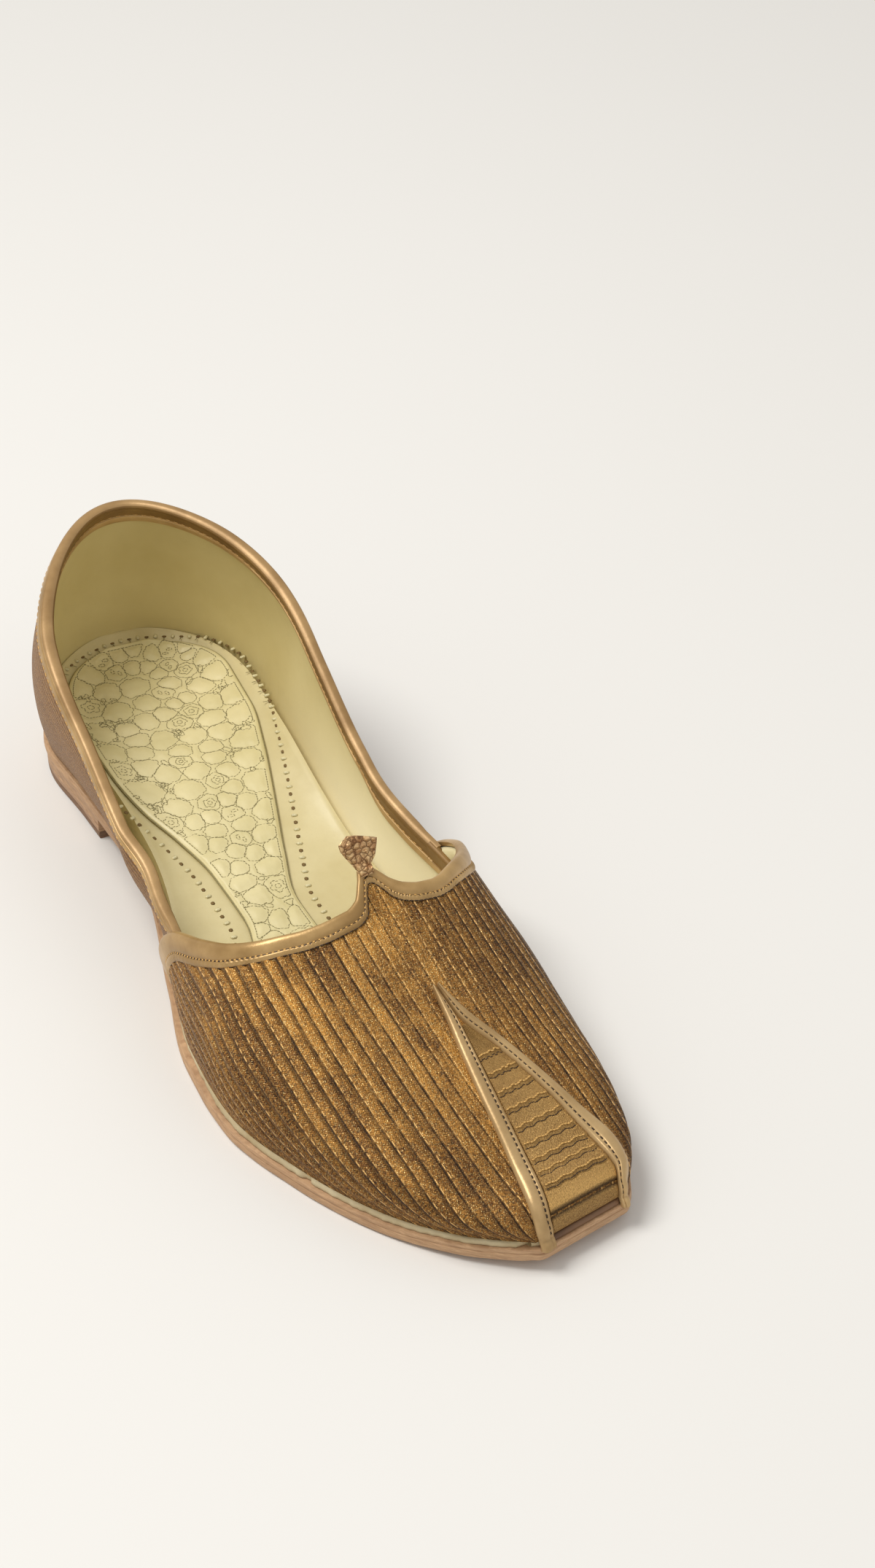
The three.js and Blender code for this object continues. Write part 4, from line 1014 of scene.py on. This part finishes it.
def make_pad():
    loops = pad_pattern()
    marks = np.concatenate([resample(loop, 0.7, True) for loop in loops])
    tree = KDTree(len(marks))
    for i, m in enumerate(marks):
        tree.insert((m[0], m[1], 0), i)
    tree.balance()
    k, r = np.meshgrid(shares(260, 1.8, 1.8), np.linspace(-1, 1, 111), indexing="ij")
    s = mix(PAD_FROM, PAD_TO, k)
    half = pad_half(s, side_of(r))
    x, y = r * half, s * SHOE_LEN
    edge = np.minimum(half * (1 - np.abs(r)), np.minimum(y - PAD_Y0, PAD_Y1 - y) * 1.6)
    d = np.array([tree.find((a, b, 0))[2] for a, b in zip(y.ravel(), x.ravel())]).reshape(y.shape)
    puff = 0.55 * (1 - np.exp(-(d / 1.3) ** 2)) * smooth(0.0, 2.0, edge) - 0.6 * np.exp(-(edge / 0.6) ** 2)
    top = place(s, x, pad_top(y, x, puff))
    low = place(s, x, insole_at(s, x) + 0.35)
    # the relief's own pitch on top, a coarser one below
    obj = double_sheet("insole_pad", top[:, ::-1], low[::4, ::-10], 4, 10, [M_PAD], None, 0)
    merge_coincident(obj)
    piece(obj, "quilted_pad", "insole_pad")
    # the stitches of the quilting
    ends = []
    for loop in loops:
        pts = resample(loop, 0.95, True)
        way = 0.1 * (np.roll(pts, -1, 0) - np.roll(pts, 1, 0))
        s = pts[:, 0] / SHOE_LEN
        ok = (np.abs(pts[:, 1]) < pad_half(s, side_of(pts[:, 1])) - 1.0) & (s > PAD_FROM + 0.006)
        ok &= s < PAD_TO - 0.01
        y, x = pts[ok].T
        z = pad_top(y, x, 0.02)
        dy, dx = way[ok].T
        ends.append([place((y + f * dy) / SHOE_LEN, x + f * dx, z) for f in (-1, 1)])
    a, b = (np.concatenate(part) for part in zip(*ends))
    beads("pad_stitches", "quilted_pad", (a + b) / 2, b - a, UP, 0.5, 0.13, 0.12, M_GREY_THREAD_AND_SHADE)


def make_pad_border():
    """Grey cord where the pad meets the insole: a sewn line, partly painted shade at the seam."""
    s, x = pad_edge_path(lambda s: 0.12, 300).T
    centre = place(s, x, insole_at(s, x) + 0.75)
    side = unit(np.cross(np.roll(centre, -1, 0) - np.roll(centre, 1, 0), UP))
    a = np.linspace(0, 2 * np.pi, 7)[:-1, None]
    rings = centre[:, None] + 0.28 * (np.cos(a) * side[:, None] + np.sin(a) * UP)
    piece(tube("pad_border", rings, [M_GREY_THREAD_AND_SHADE], closed=True, sharp=0), "quilted_pad")


def make_insole_stitches():
    """Punched holes, each a dark bead of painted shade, with pale thread between them, round the pad; at the
    back, short grey marks of painted shade for the gathers.
    """
    path = pad_edge_path(lambda s: mix(2.2, 4.6, smooth(0.03, 0.12, s)), 420)
    path = np.roll(path, -np.argmax(path[:, 0] >= STITCH_TO), 0)
    path = path[path[:, 0] < STITCH_TO]
    y, x = resample(path * [SHOE_LEN, 1], 2.55).T
    s = y / SHOE_LEN
    line = place(s, x, insole_at(s, x))
    way = np.gradient(line, axis=0)
    aside = unit(np.cross(way, UP))
    aside *= np.sign(np.sum(aside * (line.mean(0) - line), 1, keepdims=True))
    holes = slice(0, None, 2)
    back = np.flatnonzero(s[holes] < 0.2) * 2
    near = line + 1.3 * aside
    for name, centres, ways, lift, size, mat in (
            # dark-tan beads: painted shade in the punched holes
            ("insole_holes", line[holes], way[holes], 0.02, (0.68, 0.6, 0.12), M_PRICK_SHADE),
            # short grey marks: painted shade in the creases of the gathers
            ("insole_gathers", near[back], aside[back], 0.02, (0.75, 0.13, 0.08), M_GREY_THREAD_AND_SHADE),
            ("insole_thread", line[1::2], aside[1::2], 0.1, (1.0, 0.6, 0.38), M_PALE)):
        beads(name, "lining_leather", centres + lift * UP, ways, UP, *size, mat)


# Bindings
def smooth_loop(points, per=3):
    """Round a closed profile with Catmull-Rom, keeping its points."""
    b = np.asarray(points, float)[:, None]
    a, c, d = (np.roll(b, shift, 0) for shift in (1, -1, -2))
    t = (np.arange(per) / per)[:, None]
    out = 0.5 * (2 * b + (c - a) * t + (2 * a - 5 * b + 4 * c - d) * t * t + (3 * b - a - 3 * c + d) * t ** 3)
    return out.reshape(-1, 2)


COLLAR_PROFILE = smooth_loop([
    (-3.7, -0.3), (-3.75, -0.65), (-3.2, -0.9), (-2.0, -1.0), (-0.9, -0.95), (-0.35, -0.8), (-0.2, -0.65),
    (0.1, -0.75), (0.6, -0.6), (1.0, -0.15), (1.15, 0.5), (1.1, 1.2), (0.8, 1.85), (0.3, 2.4),
    (-0.2, 2.65), (-0.55, 2.5), (-1.1, 2.65), (-3.1, 2.62), (-3.4, 2.95), (-4.9, 2.9), (-5.6, 2.6),
    (-5.5, 2.15), (-3.0, 2.1), (0.0, 2.05), (0.3, 1.0), (0.2, -0.2), (-1.8, -0.25)])
FACING_PROFILE = smooth_loop([
    (0.05, 0.3), (0.5, 0.35), (0.95, 0.9), (1.0, 1.6), (0.75, 2.2), (0.2, 2.6), (-1.1, 2.65), (-3.1, 2.62),
    (-3.4, 2.95), (-4.9, 2.9), (-5.6, 2.6), (-5.5, 2.15), (-2.5, 2.1), (0.0, 2.05), (0.15, 1.0)])
COLLAR_BANDS = [20, 38, 51, 62]  # points where the roll, the facing, its hem and the band start
HEM = (24, 34)  # the hem's points on the facing's own profile


def collar_points(q, side, profile):
    """A profile of (rise, inset) pairs carried round the collar."""
    s = np.maximum(q * QUARTER_END, 0.02)
    tall = COLLAR_BACK_H * collar_high(s) - foot_line(s)
    rise, inset = profile.T[:, None]
    # on the outer side the binding's outer face is narrower beside the throat
    slim = 1 - 0.42 * smooth(0.3, 0.42, s)[:, None] * (side > 0)
    up = 1 + np.where((inset < 0.6) & (rise < 0), slim, 1) * rise / tall[:, None]
    inset = np.where(inset < 0, mix(inset, 0.3, smooth(0.5, 0.545, s)[:, None]), inset)
    return quarter(q[:, None], up, side, inset)


def collar_run(n, stop):
    """Stations round the collar: from the outer front end, round the heel, to the inner one."""
    half = np.linspace(0, 1, n) ** 1.4 * stop
    return np.concatenate([half[::-1], half[1:]]), np.repeat([1.0, -1.0], [n, n - 1])[:, None]


def collar_line(rise, inset, pitch, stop):
    return resample(collar_points(*collar_run(240, stop), np.array([[rise, inset]]))[:, 0], pitch)


def make_collar_binding():
    stop = COLLAR_BIND_TO / QUARTER_END
    rings = collar_points(*collar_run(190, stop), COLLAR_PROFILE)
    obj = tube("collar_binding", rings, [M_BIND, M_PIPE, M_FACING, M_HEM], sharp=60)
    column = np.arange(len(obj.data.polygons)) % rings.shape[1]
    split_materials(obj.data, np.digitize(column, COLLAR_BANDS) % 4)
    piece(obj, "binding_leather", "collar_binding")
    for name, sign in (("facing_outer", 1), ("facing_inner", -1)):
        q = np.linspace(COLLAR_BIND_TO - 0.012, FACING_TO, 24) / QUARTER_END
        rings = collar_points(q, np.full((24, 1), float(sign)), FACING_PROFILE)
        obj = tube(name, rings[::sign], [M_FACING, M_HEM], sharp=60)
        column = np.arange(len(obj.data.polygons)) % rings.shape[1]
        split_materials(obj.data, (column >= HEM[0]) & (column < HEM[1]))
        piece(merge_coincident(obj), "binding_leather")
    for name, rise, inset, lift, pitch, high in (("collar_outer_stitch", -2.75, -0.98, -0.6, 2.3, 0.13),
                                                 ("facing_stitch", -3.05, 2.68, 0.6, 2.4, 0.1)):
        line, above = (collar_line(rise, to, pitch, stop - 0.02) for to in (inset, inset + lift))
        m = min(len(line), len(above))
        sew(name, "binding_leather", line[:m], above[:m], 0.82, 0.17, high, M_GOLD)


def throat_frame(turn):
    """Station on the throat's edge, and the steps of s and turn for one mm ahead of it."""
    def at(s, turn):
        return vamp(float(s), 1.0, turn, 0.0)
    d = 1e-4
    s = float(throat_at(turn))
    t0, t1 = max(turn - d, 0), min(turn + d, 1)
    along_s = (at(s + d, turn) - at(s, turn)) / d
    along_t = (at(s, t1) - at(s, t0)) / (t1 - t0)
    edge = (at(throat_at(t1), t1) - at(throat_at(t0), t0)) / (t1 - t0)
    into = unit(np.cross(unit(np.cross(along_t, along_s)), edge))
    if into @ along_s < 0:
        into = -into
    into = unit(mix(into, unit(along_s), 1 - float(smooth(0.005, 0.075, abs(turn - 0.5)))))
    a = np.array([[along_s @ along_s, along_s @ along_t], [along_s @ along_t, along_t @ along_t]])
    per = np.linalg.solve(a, [into @ along_s, into @ along_t])
    return s, per[0], per[1]


THROAT_PROFILE = smooth_loop([
    (6.0, -0.2), (6.05, -0.6), (5.5, -0.95), (4.9, -1.05), (4.4, -0.95), (4.05, -0.72), (3.7, -0.95),
    (3.0, -1.35), (1.8, -1.65), (0.4, -1.75), (-0.6, -1.55), (-1.3, -0.85), (-1.55, 0.2), (-1.4, 1.3),
    (-0.9, 2.2), (0.2, 2.85), (2.5, 2.95), (4.8, 2.8), (4.9, 2.4), (2.0, 2.3), (-0.3, 2.0), (-0.35, 0.5),
    (0.2, -0.4), (3.5, -0.4)])


def throat_points(turns, profile, ripple=None):
    """A profile of (ahead, inset) pairs carried along the throat's edge."""
    out = []
    for i, turn in enumerate(turns):
        s, per_s, per_t = throat_frame(float(turn))
        inside = float(smooth(0.225, 0.262, turn) * smooth(0.785, 0.75, turn))
        leg = float(throat_leg(turn))
        ahead, inset = profile.T
        ahead = np.where((inset < 0) & (ahead > 0), ahead * leg, ahead)
        deep = inset > 0.55
        ahead = np.where(deep & (ahead > -1.2), mix(-1.2, ahead, inside), ahead)
        inset = np.where(deep, mix(0.55, inset, inside), inset)
        if ripple is not None:
            inset = inset + ripple[i] * (ahead > 4.2 * leg) * (inset < 0)
        t = np.clip(turn + per_t * ahead, 0.002, 0.998)
        out.append(vamp(s + per_s * ahead, 1.0, t, inset))
    return np.array(out)


def make_throat_binding():
    turns = np.concatenate([np.linspace(0.02, 0.44, 170), np.linspace(0.44, 0.56, 81)[1:-1],
                            np.linspace(0.56, 0.98, 170)])
    n = np.arange(len(turns))
    fine = np.linspace(0.03, 0.97, 700)
    ripple = 0.22 * np.sin(n * 2.1) * np.clip(slow_noise(n, 0, 4) + 0.6, 0, 1)
    obj = tube("throat_binding", throat_points(turns, THROAT_PROFILE, ripple), [M_BIND], sharp=60)
    piece(merge_coincident(obj), "binding_leather", "throat_binding")
    for name, ahead, inset, pitch, mat, wide, length in (
            # dark beads: painted shade in the stitch holes, with gold thread between them
            ("throat_stitch_holes", 4.05, -0.74, 2.1, M_DARK_SHADE, 0.4, 0.9),
            ("throat_stitch_thread", 4.05, -0.86, 2.1, M_GOLD, 0.3, 0.4),
            # dark beads along the binding's front edge: painted shadow under its lip
            ("throat_edge_shadow", 6.05, -0.35, 1.9, M_DARK_SHADE, 0.26, 0.7)):
        line, above = resample_both(*(throat_points(fine, np.array([[ahead, to]]))[:, 0]
                                      for to in (inset, inset - 0.6)), pitch)
        if name == "throat_stitch_thread":
            line, above = halfway(line), halfway(above)
        sew(name, "binding_leather", line, above, length, wide, 0.14, mat)


def make_finial():
    """Pebbled leather tab: its foot lies on the throat peak, then it stands up, creased down the middle."""
    s0 = float(throat_at(0.5)) + FINIAL_SEAT / SHOE_LEN
    start = THROAT_H * float(ridge_high(s0)) + 1.6
    i, b = np.meshgrid(np.linspace(0, 5, 51), np.linspace(-1, 1, 45), indexing="ij")
    reach = i * mix(1.0, np.interp(b, np.linspace(-1, 1, 5), FINIAL_END), i / 5)
    back, rise = (np.interp(reach, range(6), FINIAL[k]) * FINIAL_LEN for k in ("back", "rise"))
    half = np.where(b > 0, np.interp(i, range(6), FINIAL["outer"]), np.interp(i, range(6), FINIAL["inner"]))
    x = b * half * FINIAL_HALF
    lean = rise / FINIAL_LEN
    crease = 0.6 * np.exp(-((x + 1.0) / 0.5) ** 2)
    z = start + 0.1 + rise - FINIAL_DROP * np.abs(x)
    seeds = np.random.default_rng(3).uniform([-0.5, -5.5], [13, 5.5], (80, 2))
    flat = np.stack([back + rise, x], -1)
    d = np.sqrt(((flat[:, :, None] - seeds[None, None]) ** 2).sum(-1)).min(-1)
    pebble = 0.45 * (1 - np.clip(d / 0.9, 0, 1) ** 2)
    rim = (1 - smooth(0.85, 1.0, np.abs(b))) * (1 - smooth(4.5, 5.0, i))

    def sheet(lift):
        return place(s0 - (back - lift * lean) / SHOE_LEN, x, z + lift * (1 - lean * 0.6))
    top = sheet(1.0 + (0.8 + pebble - crease) * mix(0.25, 1.0, rim))
    obj = double_sheet("throat_finial", top, sheet(np.zeros_like(x)), 1, 1, [M_FINIAL], None, 60)
    piece(obj, "finial_leather", "throat_finial")


# Straps and panel at the toe
def toe_marks(start, n, m):
    """Stations on the vamp up to the toe's edge, then 1 + the share of the roll down its face."""
    flat = mix(start, TOE_FACE, np.linspace(0, 1, n))
    return np.concatenate([flat, TOE_FACE + 1 + np.linspace(0, 0.985, m + 1)[1:]])


def trim_sheet(marks, edge_a, edge_b, ks, inset):
    """A sheet on the vamp between two edges, with its stations and heights kept."""
    mark, k = np.meshgrid(marks, ks, indexing="ij")
    roll = mark > 1.5
    s, keep = along_toe(TOE_FACE, np.where(roll, mark - TOE_FACE, 1.0), inset)
    s, keep = np.where(roll, s, mark), np.where(roll, keep, 1.0)
    return vamp_wide(s, keep, BALL_HALF * mix(edge_a(s), edge_b(s), k), inset), s, keep


def strap_tail(sheet):
    """Carry a strap on over the strip and down to the sole's edge."""
    steps = ((0.45, 0.3), (0.95, 0.75), (1.35, 1.3), (1.5, 1.9), (1.45, 2.4))
    return np.concatenate([sheet, np.stack([sheet[-1] + [0, out, -down] for out, down in steps])])


def make_straps():
    marks, fine = toe_marks(0.77, 90, 40), toe_marks(0.782, 200, 60)
    ks = np.linspace(0, 1, 17)
    crown = 0.25 + 1.15 * (1 - np.abs(2 * ks - 1) ** 3.2) ** 0.6
    crown[[0, -1]] = 0.12
    for name, a, b, seam in (("toe_strap_lateral", strap_outer_in, strap_outer_out, 0.3),
                             ("toe_strap_medial", strap_inner_out, strap_inner_in, 0.7)):
        groove = 0.4 * np.exp(-((ks - seam) / 0.07) ** 2)
        top, low = (strap_tail(trim_sheet(marks, a, b, ks, inset)[0])
                    for inset in (groove - crown - 0.15, 0.15))
        obj = double_sheet(name, top, low, 1, 1, [M_STRAP], None, 60)
        piece(merge_coincident(obj), "strap_leather", name)
        line, above = (row[1:-1] for row in resample_both(
            *(trim_sheet(fine, a, b, [seam], inset)[0][:, 0] for inset in (-1.12, -1.7)), 2.15))
        # the dark beads are painted shade in the punched holes
        sew(name + "_holes", "strap_leather", line, above, 0.6, 0.46, 0.18, M_HOLE_SHADE)
        sew(name + "_thread", "strap_leather", halfway(line), halfway(above), 0.4, 0.24, 0.16, M_STRAP)


BARS = [0.845, 0.864, 0.8825, 0.9, 0.9175, 0.934, 0.949, 0.962, 0.976]


def bar_wave(k, bar):
    """How far in mm a gold bar runs off its straight line."""
    return 0.2 * np.sin(k * 27 + bar * 900)


def make_panel():
    marks = toe_marks(0.812, 150, 60)
    ks = np.linspace(0, 1, 41)
    room = 0.15 / BALL_HALF

    def left(s):
        return strap_inner_in(s) + room

    def right(s):
        return strap_outer_in(s) - room

    _, s, keep = trim_sheet(marks, left, right, ks, -0.5)
    lift = np.full(s.shape, 0.55)
    for bar in BARS:
        past = (s - bar) * SHOE_LEN - bar_wave(ks, bar)
        lift += 0.14 * np.exp(-(past / 0.7) ** 2) - 0.22 * np.exp(-(past - 0.95) ** 2 / 0.12)
    lift -= 0.6 * np.exp(-((keep - 0.62) / 0.07) ** 2) * (s > TOE_FACE)
    top, low = (trim_sheet(marks, left, right, ks, inset)[0] for inset in (-lift, 0.1))
    across = np.broadcast_to(np.linspace(0, 30, 41), s.shape)
    uv = np.stack([across, s * SHOE_LEN + PANEL_V + (1 - keep) * TOE_FACE_LEN], -1)
    obj = double_sheet("toe_panel", top, low, 1, 1, [M_PANEL], uv, 0)
    piece(merge_coincident(obj), "panel_cloth", "toe_panel")
    k = np.linspace(0.06, 0.94, 60)
    for name, lane, inset, mat, size in (("panel_gold_bars", 0.0, -0.78, M_GOLD, (0.55, 0.3, 0.2)),
                                         # dark beads in the dip behind each gold bar: painted shade
                                         ("panel_dark_bars", 0.95, -0.4, M_DARK_SHADE, (0.5, 0.16, 0.12))):
        rows = []
        for bar in BARS:
            s = bar + (lane + bar_wave(k, bar)) / SHOE_LEN
            x = BALL_HALF * mix(left(s), right(s), k)
            line, above = resample_both(vamp_wide(s, 1.0, x, inset), vamp_wide(s, 1.0, x, -1.5), 1.25)
            rows.append((line, np.gradient(line, axis=0), above - line))
        beads(name, "panel_cloth", *(np.concatenate(part) for part in zip(*rows)), *size, mat)


# Camera, floor and lights
FOCAL_PX = 4407.62  # fitted to the photo, in its pixels
PHOTO_H = 2150
SENSOR = 36.0  # mm


def look(obj, at, to):
    way = Vector(to) - Vector(at)
    obj.matrix_world = Matrix.Translation(at) @ way.to_track_quat("-Z", "Y").to_matrix().to_4x4()


def make_camera():
    cam = bpy.data.cameras.new("camera")
    cam.sensor_fit = "VERTICAL"
    cam.sensor_height = SENSOR
    cam.lens = FOCAL_PX * SENSOR / PHOTO_H
    cam.clip_start = 0.05
    obj = add_object("camera", cam)
    right = Vector((-0.87262815, 0.48833317, -0.00712998))
    up = Vector((-0.30460862, -0.53279359, 0.78952174))
    ahead = Vector((-0.38175084, -0.69113074, -0.61368118))
    at = (Vector((286.8668, 709.0501, 554.8874)) - Vector(SHIFT)) * MM
    obj.matrix_world = Matrix.Translation(at) @ Matrix((right, up, -ahead)).transposed().to_4x4()
    bpy.context.scene.camera = obj


def make_stage():
    mesh = bpy.data.meshes.new("floor")
    mesh.from_pydata([(-4, -4, 0), (4, -4, 0), (4, 4, 0), (-4, 4, 0)], [], [(0, 1, 2, 3)])
    obj = add_object("floor", mesh)
    p = Paint("floor_paper")
    n = p.noise(p.object_coords(), 3, 2)
    p.set(Base_Color=p.blend(n, (0.8, 0.785, 0.755, 1), (0.82, 0.805, 0.78, 1)), Roughness=0.75)
    mesh.materials.append(p.mat)
    world = bpy.data.worlds.new("studio")
    world.use_nodes = True
    sky = world.node_tree.nodes["Background"].inputs
    sky[0].default_value = (1.0, 0.985, 0.96, 1)
    sky[1].default_value = 0.56
    bpy.context.scene.world = world
    for name, at, size, power, colour in (
            ("key", (0.55, -0.3, 1.4), 0.8, 15.5, (1, 0.985, 0.95)),
            ("front", (-0.3, 1.0, 1.1), 0.9, 1.0, (1, 0.98, 0.95))):
        light = bpy.data.lights.new(name, "AREA")
        light.shape = "DISK"
        light.size = size
        light.energy = power
        light.color = colour
        look(add_object(name, light), at, (0, 0, 0.03))


for make in (make_camera, make_stage, make_vamp, make_quarters, make_sole, make_rand, make_insole, make_pad,
             make_pad_border, make_insole_stitches, make_collar_binding, make_throat_binding, make_finial,
             make_straps, make_panel):
    make()
bpy.context.scene.view_settings.view_transform = "Standard"

bpy.context.view_layer.update()
